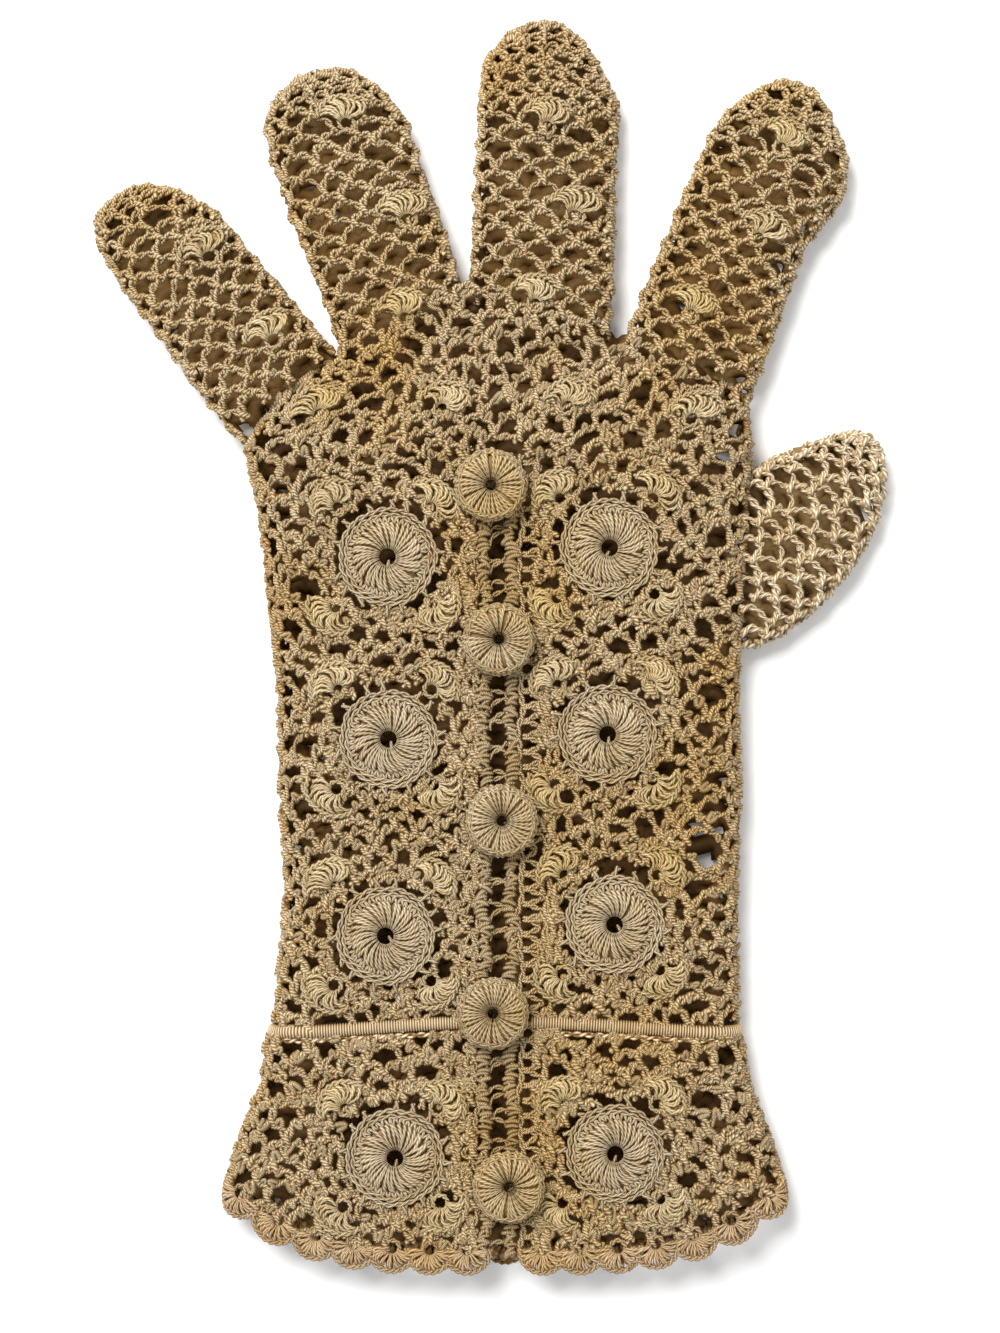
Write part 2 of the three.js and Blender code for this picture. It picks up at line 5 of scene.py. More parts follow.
import bpy
import numpy as np
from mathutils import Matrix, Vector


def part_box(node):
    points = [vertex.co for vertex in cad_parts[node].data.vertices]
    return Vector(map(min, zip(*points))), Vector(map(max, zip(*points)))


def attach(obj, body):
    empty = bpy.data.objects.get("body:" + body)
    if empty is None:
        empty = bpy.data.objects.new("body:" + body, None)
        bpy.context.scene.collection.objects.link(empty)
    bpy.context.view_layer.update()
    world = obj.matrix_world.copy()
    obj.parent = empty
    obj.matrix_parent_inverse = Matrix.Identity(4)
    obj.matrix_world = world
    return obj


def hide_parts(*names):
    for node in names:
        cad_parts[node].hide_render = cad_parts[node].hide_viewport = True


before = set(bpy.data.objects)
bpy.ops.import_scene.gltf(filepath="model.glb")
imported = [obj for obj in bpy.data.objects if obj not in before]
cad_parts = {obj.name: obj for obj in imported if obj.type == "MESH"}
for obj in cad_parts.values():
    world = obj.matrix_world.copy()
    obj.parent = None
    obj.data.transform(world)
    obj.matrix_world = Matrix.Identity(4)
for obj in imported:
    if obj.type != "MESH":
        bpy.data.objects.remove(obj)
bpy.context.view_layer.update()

# The net of the hand: chains of mercerised cotton, caught down into the chains of the row
# below, worked round and round from the wrist. The upper and the palm layer meet at a soft
# fold on each side, and short hairpins of chain stand off most of the upper arches.
mm = 0.001
PALM_WIDTH = 96 * mm
HAND_LENGTH = 142 * mm
PALM_HEIGHT = 12 * mm
WRIST_HEIGHT = 10 * mm
FINGER_HEIGHT = 10 * mm
SIDE_ROLL = 8.5 * mm
HALF_WALL = 0.75 * mm
FOLD_SHARE = 0.46
KNUCKLES = 0.848
STITCH = 2.3 * mm
CHAIN_RADIUS = 0.84 * mm
ROOT = "root"
wrist_low, wrist_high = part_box("wrist_cord")
WRIST_Y = (wrist_low.y + wrist_high.y) / 2
HAND_OUTLINE = np.array(
    [
        [-0.02, -0.503, 0.503], [0.2, -0.474, 0.5], [0.37, -0.487, 0.508], [0.5, -0.489, 0.501],
        [0.63, -0.51, 0.512], [0.745, -0.527, 0.521], [0.848, -0.56, 0.53], [0.92, -0.49, 0.52],
        [0.98, -0.36, 0.4], [1.1, -0.36, 0.4],
    ]
)
NARROW_ROLL = 0.62
ARC = 0.8
TINY = 1e-12
chance = np.random.default_rng(7)


def thickness(above_wrist):
    """One even slope from the hem to the knuckles, then down to the roots of the fingers."""
    knuckles = KNUCKLES * HAND_LENGTH
    rising = WRIST_HEIGHT + (PALM_HEIGHT - WRIST_HEIGHT) * above_wrist / knuckles
    beyond = np.clip((above_wrist - knuckles) / (0.132 * HAND_LENGTH), 0, 1)
    return np.where(above_wrist < knuckles, rising, PALM_HEIGHT - 2.5 * mm * beyond)


def limb(along, left, right, low, high, x=0.0, y=0.0, lean=0.0):
    """A flattened tube: rows of edges and heights along an axis that leans from (x, y)."""
    return {
        "rows": np.array([along, left, right, low, high], float),
        "place": (x, y, np.radians(lean)),
    }


def side_roll(half):
    """How far in from the fold the cloth starts to turn down, less on a narrow tube."""
    return np.minimum(SIDE_ROLL, NARROW_ROLL * half)


def roll_round(half, low, high, over, share):
    """Level to the side roll, then down a quarter ellipse to the fold and back under by another.
    A quarter ellipse is taken to be ARC times the sum of its two half axes long."""
    roll = side_roll(half)
    waist = low + share * (high - low)
    rise, drop = high - waist, waist - low
    quarter = ARC * (roll + rise)
    under = ARC * (roll + drop)
    run = np.abs(over)
    level = half - roll
    up = np.clip((run - level) / quarter, 0, 1) * np.pi / 2
    down = np.clip((run - level - quarter) / under, 0, 1) * np.pi / 2
    back = np.maximum(run - level - quarter - under, 0)
    x = np.minimum(run, level) + roll * np.sin(up) - roll * (1 - np.cos(down)) - back
    z = high - rise * (1 - np.cos(up)) - drop * np.sin(down)
    return np.sign(over) * x, z


def rows_at(tube, along):
    """Middle, half width, low and high of the middle of the cloth, straight between the rows."""
    at, left, right, low, high = tube["rows"]
    a, b = np.interp(along, at, left), np.interp(along, at, right)
    half = (b - a) / 2 - HALF_WALL
    low = np.interp(along, at, low) + HALF_WALL
    high = np.interp(along, at, high) - HALF_WALL
    return (a + b) / 2, half, low, np.maximum(high, low + 0.2 * mm)


def cloth_point(tube, along, over, palm):
    """The point at a distance along the axis and a distance over the layer from its middle."""
    middle, half, low, high = rows_at(tube, along)
    x, z = roll_round(half, low, high, over, 1 - FOLD_SHARE if palm else FOLD_SHARE)
    z = low + high - z if palm else z
    x = x + middle
    x0, y0, lean = tube["place"]
    c, s = np.cos(lean), np.sin(lean)
    return np.stack([x0 + x * c + along * s, y0 - x * s + along * c, z], -1)


def unit(vectors):
    """Each vector divided by its length."""
    return vectors / (np.linalg.norm(vectors, axis=-1, keepdims=True) + TINY)


def on_cloth(tube, along, over, lift, palm=False):
    """The cloth's point raised by lift along its outward normal, and that normal, which is the
    cross product of small steps over and along."""
    step = 0.15 * mm
    point = cloth_point(tube, along, over, palm)
    a = cloth_point(tube, along, over + step, palm) - cloth_point(tube, along, over - step, palm)
    b = cloth_point(tube, along + step, over, palm) - cloth_point(tube, along - step, over, palm)
    normal = unit(np.cross(a, b) * (-1 if palm else 1))
    return point + normal * np.asarray(lift)[..., None], normal


def half_round(tube, along, palm=False):
    """Distance over the cloth from the middle of a layer to its side fold."""
    _, half, low, high = rows_at(tube, along)
    roll = side_roll(half)
    share = FOLD_SHARE if palm else 1 - FOLD_SHARE
    return half - roll + ARC * (roll + share * (high - low))


def over_of(tube, along, x):
    """Distance over the cloth at which the upper layer has the plan place x."""
    middle, half, low, high = rows_at(tube, along)
    roll = side_roll(half)
    level = half - roll
    run = np.abs(x - middle)
    turn = np.arcsin(np.clip((run - level) / roll, 0, 0.999))
    past = turn / (np.pi / 2) * ARC * (roll + (1 - FOLD_SHARE) * (high - low))
    return np.sign(x - middle) * (np.minimum(run, level) + past)


GROOVE_WIDTH = 0.5
V_SLANT = 0.42
POLE_REACH = 0.6
PLY_ASIDE = 0.6
PLY_RISE = 0.42
PLY_THICKNESS = 0.57


def axes_along(point, normal):
    """Unit vectors along each path, across it on the cloth, and square to both."""
    tangent = unit(np.gradient(point, axis=1))
    across = unit(np.cross(tangent, normal))
    return tangent, across, np.cross(across, tangent)


def sweep(point, normal, radius, stitch, sides, swell=0.0, wide=1.12, groove=0.0, tall=0.9):
    """Many strands at once: an oval section, with a groove along its outer side where one is
    asked for, carried along each path and closed by a pole at each end. A swell makes it thicker
    once a stitch, in a V. In the UV, u counts stitches and v is 0.5 along the outer side."""
    count, rings = point.shape[:2]
    tangent, across, normal = axes_along(point, normal)
    angle = np.arange(sides) * 2 * np.pi / sides
    lobes = 1 - groove * np.exp(-((np.minimum(angle, 2 * np.pi - angle) / GROOVE_WIDTH) ** 2))
    beat = stitch[..., None] - V_SLANT * np.abs(np.sin(angle))
    r = radius[..., None] * lobes * (1 + swell * np.cos(2 * np.pi * beat))
    ring = (
        point[:, :, None]
        + (r * np.cos(angle) * tall)[..., None] * normal[:, :, None]
        + (r * np.sin(angle) * wide)[..., None] * across[:, :, None]
    )
    first = point[:, :1] - tangent[:, :1] * radius[:, :1, None] * POLE_REACH
    last = point[:, -1:] + tangent[:, -1:] * radius[:, -1:, None] * POLE_REACH
    points = np.concatenate([ring.reshape(count, rings * sides, 3), first, last], 1)
    side = np.arange(sides)
    following = (side + 1) % sides
    pole = np.full(sides, rings * sides)
    end = (rings - 1) * sides
    caps = np.concatenate(
        [np.stack([pole, following, side], -1), np.stack([pole + 1, end + side, end + following], -1)]
    )
    i, j = np.meshgrid(np.arange(rings - 1), side, indexing="ij")
    k = following[j]
    quads = np.stack([i * sides + j, i * sides + k, (i + 1) * sides + k, (i + 1) * sides + j], -1)
    low_v = (side / sides + 0.5) % 1.0
    high_v = low_v + 1 / sides
    u0, u1 = stitch[:, i], stitch[:, i + 1]
    va, vb = np.broadcast_to(low_v[j], u0.shape), np.broadcast_to(high_v[j], u0.shape)
    corners = [np.stack(pair, -1) for pair in ((u0, va), (u0, vb), (u1, vb), (u1, va))]
    cap_u = np.repeat(stitch[:, [0, -1]], sides, 1)
    cap_v = np.broadcast_to(np.tile(low_v, 2), cap_u.shape)
    cap_uv = np.repeat(np.stack([cap_u, cap_v], -1)[:, :, None], 3, 2)
    offset = (np.arange(count) * points.shape[1])[:, None, None]
    return {
        "points": points.reshape(-1, 3),
        "quads": (quads.reshape(1, -1, 4) + offset).reshape(-1, 4),
        "caps": (caps[None] + offset).reshape(-1, 3),
        "quad_uv": np.stack(corners, 3).reshape(-1, 4, 2),
        "cap_uv": cap_uv.reshape(-1, 3, 2),
        "tint": np.repeat(chance.random(count), points.shape[1]),
    }


def two_ply(point, normal, radius, stitch, sides):
    """Two threads twisted about each path, half a turn to a stitch: they lie off it at opposite
    angles, on an oval that is wider than it is high."""
    _, across, upward = axes_along(point, normal)
    turn = np.pi * stitch
    off = (np.cos(turn) * radius * PLY_ASIDE)[..., None] * across
    off = off + (np.sin(turn) * radius * PLY_RISE)[..., None] * upward
    both = np.concatenate([point + off, point - off])
    twice = np.concatenate([stitch, stitch + 0.5])
    normals = np.concatenate([upward, upward])
    thread = np.concatenate([radius, radius]) * PLY_THICKNESS
    return sweep(both, normals, thread, twice, sides, wide=1.0, tall=1.05)


def strands(point, normal, radius, stitch, sides, plied=False, **shape):
    """A strand along each path, as two twisted threads if plied and as one if not."""
    radius = np.broadcast_to(radius, stitch.shape)
    make = two_ply if plied else sweep
    return make(point, normal, radius, stitch, sides, **shape)


def run_of(point):
    """Distance run along each path to each of its points."""
    steps = np.linalg.norm(np.diff(point, axis=1), axis=-1)
    return np.concatenate([np.zeros((len(point), 1)), np.cumsum(steps, 1)], 1)


def joined(parts):
    """All parts as one set of arrays, each part's indices moved past the points before it."""
    start = np.cumsum([0] + [len(p["points"]) for p in parts])
    out = {key: np.concatenate([p[key] for p in parts]) for key in ("points", "quad_uv", "cap_uv", "tint")}
    for key in ("quads", "caps"):
        out[key] = np.concatenate([p[key] + s for p, s in zip(parts, start)])
    return out


ABOVE_TABLE = 0.03 * mm


def piece(name, parts, material, slot, *nodes):
    """One mesh of all the parts, standing for the named nodes and riding on the glove."""
    made = joined(parts)
    made["points"][:, 2] = np.maximum(made["points"][:, 2], ABOVE_TABLE)
    mesh = bpy.data.meshes.new(name)
    mesh.vertices.add(len(made["points"]))
    mesh.vertices.foreach_set("co", made["points"].astype(np.float32).ravel())
    corners = np.concatenate([made["quads"].ravel(), made["caps"].ravel()])
    fours, threes = len(made["quads"]), len(made["caps"])
    starts = np.concatenate([np.arange(fours) * 4, fours * 4 + np.arange(threes) * 3])
    mesh.loops.add(len(corners))
    mesh.loops.foreach_set("vertex_index", corners.astype(np.int32))
    mesh.polygons.add(fours + threes)
    mesh.polygons.foreach_set("loop_start", starts.astype(np.int32))
    mesh.polygons.foreach_set("use_smooth", np.ones(fours + threes, bool))
    uv = np.concatenate([made["quad_uv"].reshape(-1, 2), made["cap_uv"].reshape(-1, 2)])
    mesh.uv_layers.new(name="thread").data.foreach_set("uv", uv.astype(np.float32).ravel())
    tint = mesh.attributes.new("tint", "FLOAT", "POINT")
    tint.data.foreach_set("value", made["tint"].astype(np.float32))
    mesh.update(calc_edges=True)
    mesh.materials.append(material)
    made_object = bpy.data.objects.new(name, mesh)
    bpy.context.scene.collection.objects.link(made_object)
    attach(made_object, ROOT)
    if nodes:
        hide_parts(*nodes)


def chains(tube, track, lift, radius, sides=4, palm=False, stitch=STITCH, **shape):
    """Strands laid on the cloth: track holds (along, over) for each ring, and each strand has a
    whole number of stitches."""
    point, normal = on_cloth(tube, track[..., 0], track[..., 1], lift, palm)
    run = run_of(point)
    whole = np.maximum(1, np.round(run[:, -1:] / stitch))
    run = run / (run[:, -1:] + 1e-9) * whole + chance.integers(0, 40, (len(point), 1))
    return strands(point, normal, radius, run, sides, **shape)


TIP_ROW = 0.68
TIP_PITCH = 0.72
WARP_LENGTH = 17 * mm


def net_rows(tube, start, stop, pitch, row, jitter, palm=False, warp=0.0, tight=0.0):
    """Rows of joins, half a pitch apart from row to row, from one side fold to the other. Over
    the last stretch, tight, both the rows and the joins stand closer together. Warp sways the
    net by two products of sines, of the places along and over."""
    rows = []
    wave = 2 * np.pi / WARP_LENGTH
    along = np.arange(start, stop + 0.3 * row - tight, row)
    if tight:
        closer = np.arange(along[-1] + TIP_ROW * row, stop + 0.2 * row, TIP_ROW * row)
        along = np.append(along, closer)
    for i, a in enumerate(along):
        reach = float(half_round(tube, a, palm))
        arches = max(2, int(round(2 * reach / (pitch * (TIP_PITCH if a > stop - tight else 1)))))
        shares = -1 + (2 * np.arange(arches + 1 + i % 2) - i % 2) / arches
        nodes = np.stack([np.full(len(shares), a), shares * reach], -1)
        nodes += chance.normal(0, jitter, nodes.shape)
        nodes[:, 0] += warp * np.sin(wave * nodes[:, 1] + 0.31 * i) * np.cos(0.7 * wave * a)
        nodes[:, 1] += warp * np.sin(wave * 0.8 * a + 2.0) * np.cos(wave * 0.6 * nodes[:, 1])
        rows.append(nodes)
    return rows


def arches_of(rows):
    """For each pair of joins in a row, the nearest join of the next row as the arch's crown."""
    feet_a, feet_b, crowns = [], [], []
    for here, above in zip(rows[:-1], rows[1:]):
        a, b = here[:-1], here[1:]
        middle = (a[:, 1] + b[:, 1]) / 2
        nearest = np.abs(above[None, :, 1] - middle[:, None]).argmin(1)
        crown = above[nearest].copy()
        off = np.abs(crown[:, 1] - middle) > 0.3 * np.abs(b[:, 1] - a[:, 1])
        crown[off, 1] = middle[off]
        feet_a.append(a)
        feet_b.append(b)
        crowns.append(crown)
    return np.concatenate(feet_a), np.concatenate(crowns), np.concatenate(feet_b)


def arch_tracks(a, crown, b, rings, power=2.9):
    """An arch from a to b over its crown: it rises as one less a power of the distance from
    the middle, and bellies out a little at its haunches."""
    t = np.linspace(0, 1, rings)[None, :, None]
    rise = 1 - np.abs(2 * t - 1) ** power
    base = a[:, None] * (1 - t) + b[:, None] * t
    middle = (a + b)[:, None] / 2
    belly = -0.08 * (b - a)[:, None] * np.sin(2 * np.pi * t)
    return base + (crown[:, None] - middle) * rise + belly * np.array([0, 1])


def arch_radius(rings, radius, knot=0.32):
    """Thicker at both ends, where the chain is caught down by a close stitch."""
    t = np.linspace(0, 1, rings)
    ends = np.exp(-((np.minimum(t, 1 - t) / 0.09) ** 2))
    return radius * (1 + knot * ends)[None]


def arch_lift(rings, over_crown=0.4 * mm, under=0.12 * mm):
    """Over the row below at both ends, and a little under the row above at the crown."""
    t = np.linspace(0, 1, rings)
    ends = np.exp(-((np.minimum(t, 1 - t) / 0.12) ** 2))
    return (over_crown * ends - under * np.exp(-(((t - 0.5) / 0.15) ** 2)))[None]


def pushed(nodes, spots):
    """Joins moved out of each round spot (along, over, radius), and how deep each one was."""
    deep = np.zeros(len(nodes), bool)
    out = nodes.copy()
    for along, over, radius in spots:
        away = out - np.array([along, over])
        distance = np.linalg.norm(away, axis=1) + 1e-9
        inner, outer = 0.72 * radius, 1.35 * radius
        deep |= distance < inner
        share = np.clip((distance - inner) / (outer - inner), 0, 1)
        goal = np.where(distance < outer, radius + share * (outer - radius), distance)
        out = np.array([along, over]) + away / distance[:, None] * goal[:, None]
    return out, deep


def squeezed(nodes, inner, outer):
    """Joins moved out of the strip down the centre back, to between its edge and outer."""
    over = nodes[:, 1]
    run = np.abs(over)
    share = np.clip((run - 0.7 * inner) / (outer - 0.7 * inner), 0, 1)
    moved = np.where(run < outer, inner + share * (outer - inner), run)
    return np.stack([nodes[:, 0], np.sign(over) * moved], -1), run < 0.7 * inner


def group(name, inputs, outputs):
    """An empty shader node group with named sockets, each (name, type, default)."""
    tree = bpy.data.node_groups.new(name, "ShaderNodeTree")
    for label, kind, value in inputs:
        socket = tree.interface.new_socket(label, in_out="INPUT", socket_type=kind)
        if value is not None:
            socket.default_value = value
    for label, kind in outputs:
        tree.interface.new_socket(label, in_out="OUTPUT", socket_type=kind)
    return tree, tree.nodes.new("NodeGroupInput"), tree.nodes.new("NodeGroupOutput")


def math_node(tree, operation, *values):
    """A Math node whose inputs are numbers or the outputs of other nodes."""
    node = tree.nodes.new("ShaderNodeMath")
    node.operation = operation
    for socket, value in zip(node.inputs, values):
        if isinstance(value, (int, float)):
            socket.default_value = value
        else:
            tree.links.new(value, socket)
    return node.outputs[0]


def held(tree, value):
    """The value kept between nought and one."""
    return math_node(tree, "MINIMUM", math_node(tree, "MAXIMUM", value, 0.0), 1.0)


def thread_group():
    """Height of spun thread from its UV: v is 0.5 along the middle of the outer side, from where
    the height falls to the underside, and the plies are a cosine of Around turns of v and Along
    turns of u, so they run slantwise round the thread."""
    tree, source, sink = group(
        "spun_thread",
        [
            ("UV", "NodeSocketVector", None),
            ("Around", "NodeSocketFloat", 3.0),
            ("Along", "NodeSocketFloat", 1.8),
            ("Ply", "NodeSocketFloat", 0.55),
            ("Fall", "NodeSocketFloat", 1.2),
        ],
        [("Height", "NodeSocketFloat")],
    )
    calc = partial(math_node, tree)
    split = tree.nodes.new("ShaderNodeSeparateXYZ")
    tree.links.new(source.outputs["UV"], split.inputs[0])
    u, v = split.outputs[0], split.outputs[1]
    off = calc("SUBTRACT", calc("FRACT", v), 0.5)
    # The fall from the outer side and the dips between plies are bump relief, and in the colour they also
    # paint shade on the flanks, the back and the ply grooves of each thread.
    top = calc("MULTIPLY_ADD", calc("ABSOLUTE", off), -2.0, 1.0)
    top = calc("POWER", top, source.outputs["Fall"])
    turns = calc("MULTIPLY", v, source.outputs["Around"])
    turns = calc("ADD", turns, calc("MULTIPLY", u, source.outputs["Along"]))
    wave = calc("COSINE", calc("MULTIPLY", turns, 2 * np.pi))
    wave = calc("MULTIPLY_ADD", wave, 0.5, 0.5)
    dip = calc("MULTIPLY", calc("SUBTRACT", 1.0, wave), source.outputs["Ply"])
    height = calc("MULTIPLY", top, calc("SUBTRACT", 1.0, dip))
    tree.links.new(height, sink.inputs["Height"])
    return tree


def ageing_and_shade_group():
    """Colour of old cotton with painted shade: light where the thread stands up, darker and more saturated
    in its creases, which is painted shade, warmer in broad stains, and a little different from strand to
    strand."""
    tree, source, sink = group(
        "aged_cotton_and_crease_shade",
        [
            ("Position", "NodeSocketVector", None),
            ("Height", "NodeSocketFloat", 0.5),
            ("Tint", "NodeSocketFloat", 0.5),
            ("Light", "NodeSocketColor", (0.6, 0.45, 0.25, 1)),
            ("Crease Shade", "NodeSocketColor", (0.2, 0.1, 0.03, 1)),
            ("Stain", "NodeSocketColor", (0.5, 0.3, 0.08, 1)),
            ("Stain Amount", "NodeSocketFloat", 0.5),
        ],
        [("Color", "NodeSocketColor"), ("Roughness", "NodeSocketFloat")],
    )

    def noise(scale, detail):
        node = tree.nodes.new("ShaderNodeTexNoise")
        node.inputs["Scale"].default_value = scale
        node.inputs["Detail"].default_value = detail
        tree.links.new(source.outputs["Position"], node.inputs["Vector"])
        return node.outputs[0]

    def blend(kind, factor, a, b):
        node = tree.nodes.new("ShaderNodeMix")
        node.data_type = "RGBA"
        node.blend_type = kind
        node.clamp_factor = True
        tree.links.new(factor, node.inputs[0])
        for socket, value in ((node.inputs[6], a), (node.inputs[7], b)):
            if isinstance(value, tuple):
                socket.default_value = value
            else:
                tree.links.new(value, socket)
        return node.outputs[2]

    calc = partial(math_node, tree)
    # Painted shade: the crease mask darkens the colour wherever the thread's height is low.
    raised = calc("MULTIPLY_ADD", source.outputs["Height"], 1.6, -0.08)
    crease = held(tree, calc("SUBTRACT", 1.0, raised))
    broad = calc("MULTIPLY_ADD", noise(38, 3), 5.0, -2.35)
    patch = held(tree, calc("MULTIPLY", broad, source.outputs["Stain Amount"]))
    stained = blend("MIX", patch, source.outputs["Light"], source.outputs["Stain"])
    mottle = calc("MULTIPLY_ADD", noise(300, 2), 1.2, -0.5)
    wear_and_shade = calc("ADD", mottle, calc("MULTIPLY", source.outputs["Tint"], 0.5))
    varied = blend("MULTIPLY", wear_and_shade, stained, (0.7, 0.63, 0.52, 1))
    # Painted shade: in the creases the colour is steeped darker and more saturated, then mixed toward the
    # crease shade colour.
    shade_steeped = tree.nodes.new("ShaderNodeGamma")
    tree.links.new(varied, shade_steeped.inputs["Color"])
    tree.links.new(calc("MULTIPLY_ADD", crease, 1.6, 1.0), shade_steeped.inputs["Gamma"])
    crease_shade_amount = calc("MULTIPLY", crease, 0.8)
    crease_shaded = blend("MIX", crease_shade_amount, shade_steeped.outputs[0], source.outputs["Crease Shade"])
    tree.links.new(crease_shaded, sink.inputs["Color"])
    rough = calc("MULTIPLY_ADD", crease, 0.3, 0.36)
    tree.links.new(calc("MINIMUM", rough, 0.85), sink.inputs["Roughness"])
    return tree


SPUN_THREAD = thread_group()
AGED_COTTON_AND_SHADE = ageing_and_shade_group()


def thread_material(name, light, deep, stain, stain_amount=0.5, around=3.0, along=2.0, ply=0.75, fall=1.1):
    """Cotton thread: the thread group gives the relief, and the ageing group the colour with painted crease
    shade.
    """
    material = bpy.data.materials.new(name)
    material.use_nodes = True
    tree = material.node_tree
    shader = tree.nodes["Principled BSDF"]
    shader.inputs["Specular IOR Level"].default_value = 0.38
    uv = tree.nodes.new("ShaderNodeUVMap")
    uv.uv_map = "thread"
    place = tree.nodes.new("ShaderNodeTexCoord")
    tint = tree.nodes.new("ShaderNodeAttribute")
    tint.attribute_name = "tint"
    relief = tree.nodes.new("ShaderNodeGroup")
    relief.node_tree = SPUN_THREAD
    for label, value in {"Around": around, "Along": along, "Ply": ply, "Fall": fall}.items():
        relief.inputs[label].default_value = value
    age_and_shade = tree.nodes.new("ShaderNodeGroup")
    age_and_shade.node_tree = AGED_COTTON_AND_SHADE
    # The deep colour is the painted crease shade.
    for label, colour in {"Light": light, "Crease Shade": deep, "Stain": stain}.items():
        age_and_shade.inputs[label].default_value = (*colour, 1)
    age_and_shade.inputs["Stain Amount"].default_value = stain_amount
    raised = tree.nodes.new("ShaderNodeBump")
    raised.inputs["Strength"].default_value = 1.0
    raised.inputs["Distance"].default_value = 0.2 * mm
    for source, output, target, label in (
        (uv, "UV", relief, "UV"),
        (place, "Object", age_and_shade, "Position"),
        (relief, "Height", age_and_shade, "Height"),
        (tint, "Fac", age_and_shade, "Tint"),
        (relief, "Height", raised, "Height"),
        (age_and_shade, "Color", shader, "Base Color"),
        (age_and_shade, "Roughness", shader, "Roughness"),
        (raised, "Normal", shader, "Normal"),
    ):
        tree.links.new(source.outputs[output], target.inputs[label])
    return material


# Each cotton takes a thread colour, a painted crease shade colour and a stain colour.
net_cotton = thread_material(
    "net_cotton",
    (0.635, 0.54, 0.37), (0.2, 0.096, 0.016), (0.62, 0.455, 0.2), 0.6, around=2.0, along=4.0, ply=0.8
)
# Painted shade: the palm is the same thread as the upper net, given darker colours so that it reads shaded
# where it shows through the holes.
shaded_palm_cotton = thread_material(
    "shaded_palm_cotton",
    (0.56, 0.4, 0.2), (0.13, 0.062, 0.01), (0.5, 0.33, 0.12), 0.5, around=2.0, along=4.0, fall=1.3
)

above = HAND_OUTLINE[:, 0] * HAND_LENGTH
hand = limb(
    above,
    HAND_OUTLINE[:, 1] * PALM_WIDTH,
    HAND_OUTLINE[:, 2] * PALM_WIDTH,
    0 * above,
    thickness(above),
    y=WRIST_Y,
)
FORKS = np.array([[-0.575, 0.863], [-0.358, 0.995], [-0.076, 1.077], [0.254, 1.002], [0.532, 0.921]])
FORK_WAYS = np.radians([-62, -27, -8, 11, 55])
HAND_PITCH = 5.5 * mm
HAND_ROW = 3.05 * mm


def kept_tracks(arches, keep, rings):
    """The paths of the arches, each kind of place given apart, that are kept."""
    return arch_tracks(*[places[keep] for places in arches], rings)


def root_line(x):
    """Distance above the wrist of the line that joins the forks, straight between them."""
    return np.interp(x, FORKS[:, 0] * PALM_WIDTH, FORKS[:, 1] * HAND_LENGTH)


def plan_middle(node):
    """The middle of a CAD node's box, seen from above, and the height of its underside."""
    low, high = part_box(node)
    return np.array([(low.x + high.x) / 2, (low.y + high.y) / 2]), low.z


medallions = np.array([plan_middle("medallion_%d" % i)[0] for i in range(1, 9)])
MEDALLION_RADIUS = 11.3 * mm
FANS_ROUND = np.array(
    [[-0.12, 0.083, -38], [0.105, 0.083, 38], [-0.125, -0.084, -142], [0.11, -0.078, 142]]
)
ROOT_FANS = np.array([[-0.4, 0.905, -30], [-0.126, 0.914, 8], [0.137, 0.918, 0], [0.402, 0.9, 0]])
FAN_REACH = 5.2 * mm
FAN_CLEAR = 3.7 * mm
BAND_EDGE = 6.4 * mm
BAND_CLEAR = 9.5 * mm


def fan_places(tube, centres):
    """Along, over and turn of the four fans round each medallion centre."""
    x = centres[:, None, 0] + FANS_ROUND[None, :, 0] * PALM_WIDTH
    along = centres[:, None, 1] - WRIST_Y + FANS_ROUND[None, :, 1] * HAND_LENGTH
    turn = np.broadcast_to(np.radians(FANS_ROUND[None, :, 2]), x.shape)
    x, along, turn = x.ravel(), along.ravel(), turn.ravel()
    return np.stack([along, over_of(tube, along, x), turn], -1)


hand_medallions = medallions[medallions[:, 1] > WRIST_Y]
hand_fans = fan_places(hand, hand_medallions)
root_along = ROOT_FANS[:, 1] * HAND_LENGTH
root_over = over_of(hand, root_along, ROOT_FANS[:, 0] * PALM_WIDTH)
root_fans = np.stack([root_along, root_over, np.radians(ROOT_FANS[:, 2])], -1)
fan_spots = [(a, o, FAN_CLEAR) for a, o, _ in np.concatenate([hand_fans, root_fans])]
middle_of_hand = rows_at(hand, hand_medallions[:, 1] - WRIST_Y)[0]
round_spots = [
    (y - WRIST_Y, x - m, MEDALLION_RADIUS) for (x, y), m in zip(hand_medallions, middle_of_hand)
]
button_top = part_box("band_left")[1].y - WRIST_Y


def clear_of_trim(rows, spots, strip_top):
    """The net's joins pushed out of the round trimmings and, below strip_top, out of the bands."""
    kept, sunk = [], []
    for nodes in rows:
        moved, deep = pushed(nodes, spots)
        beside, inside = squeezed(moved, BAND_EDGE, BAND_CLEAR)
        strip = nodes[:, 0] < strip_top
        moved = np.where(strip[:, None], beside, moved)
        kept.append(moved)
        sunk.append(deep | (inside & strip))
    return kept, sunk


def open_arches(rows, sunk):
    """The arches that keep at least one foot and the crown outside the trimmings."""
    a, crown, b = arches_of(rows)
    flat = np.concatenate(sunk)
    every = np.concatenate(rows)
    start = np.cumsum([0] + [len(r) for r in rows])
    foot = np.concatenate([np.arange(s, e - 1) for s, e in zip(start[:-2], start[1:-1])])
    apart = every[None] - crown[:, None]
    over_deep = flat[(apart**2).sum(-1).argmin(1)]
    gone = (flat[foot].astype(int) + flat[foot + 1] + over_deep) >= 2
    crosses = (np.sign(a[:, 1]) != np.sign(b[:, 1])) & (a[:, 0] < button_top)
    keep = ~(gone | crosses)
    return a[keep], crown[keep], b[keep]


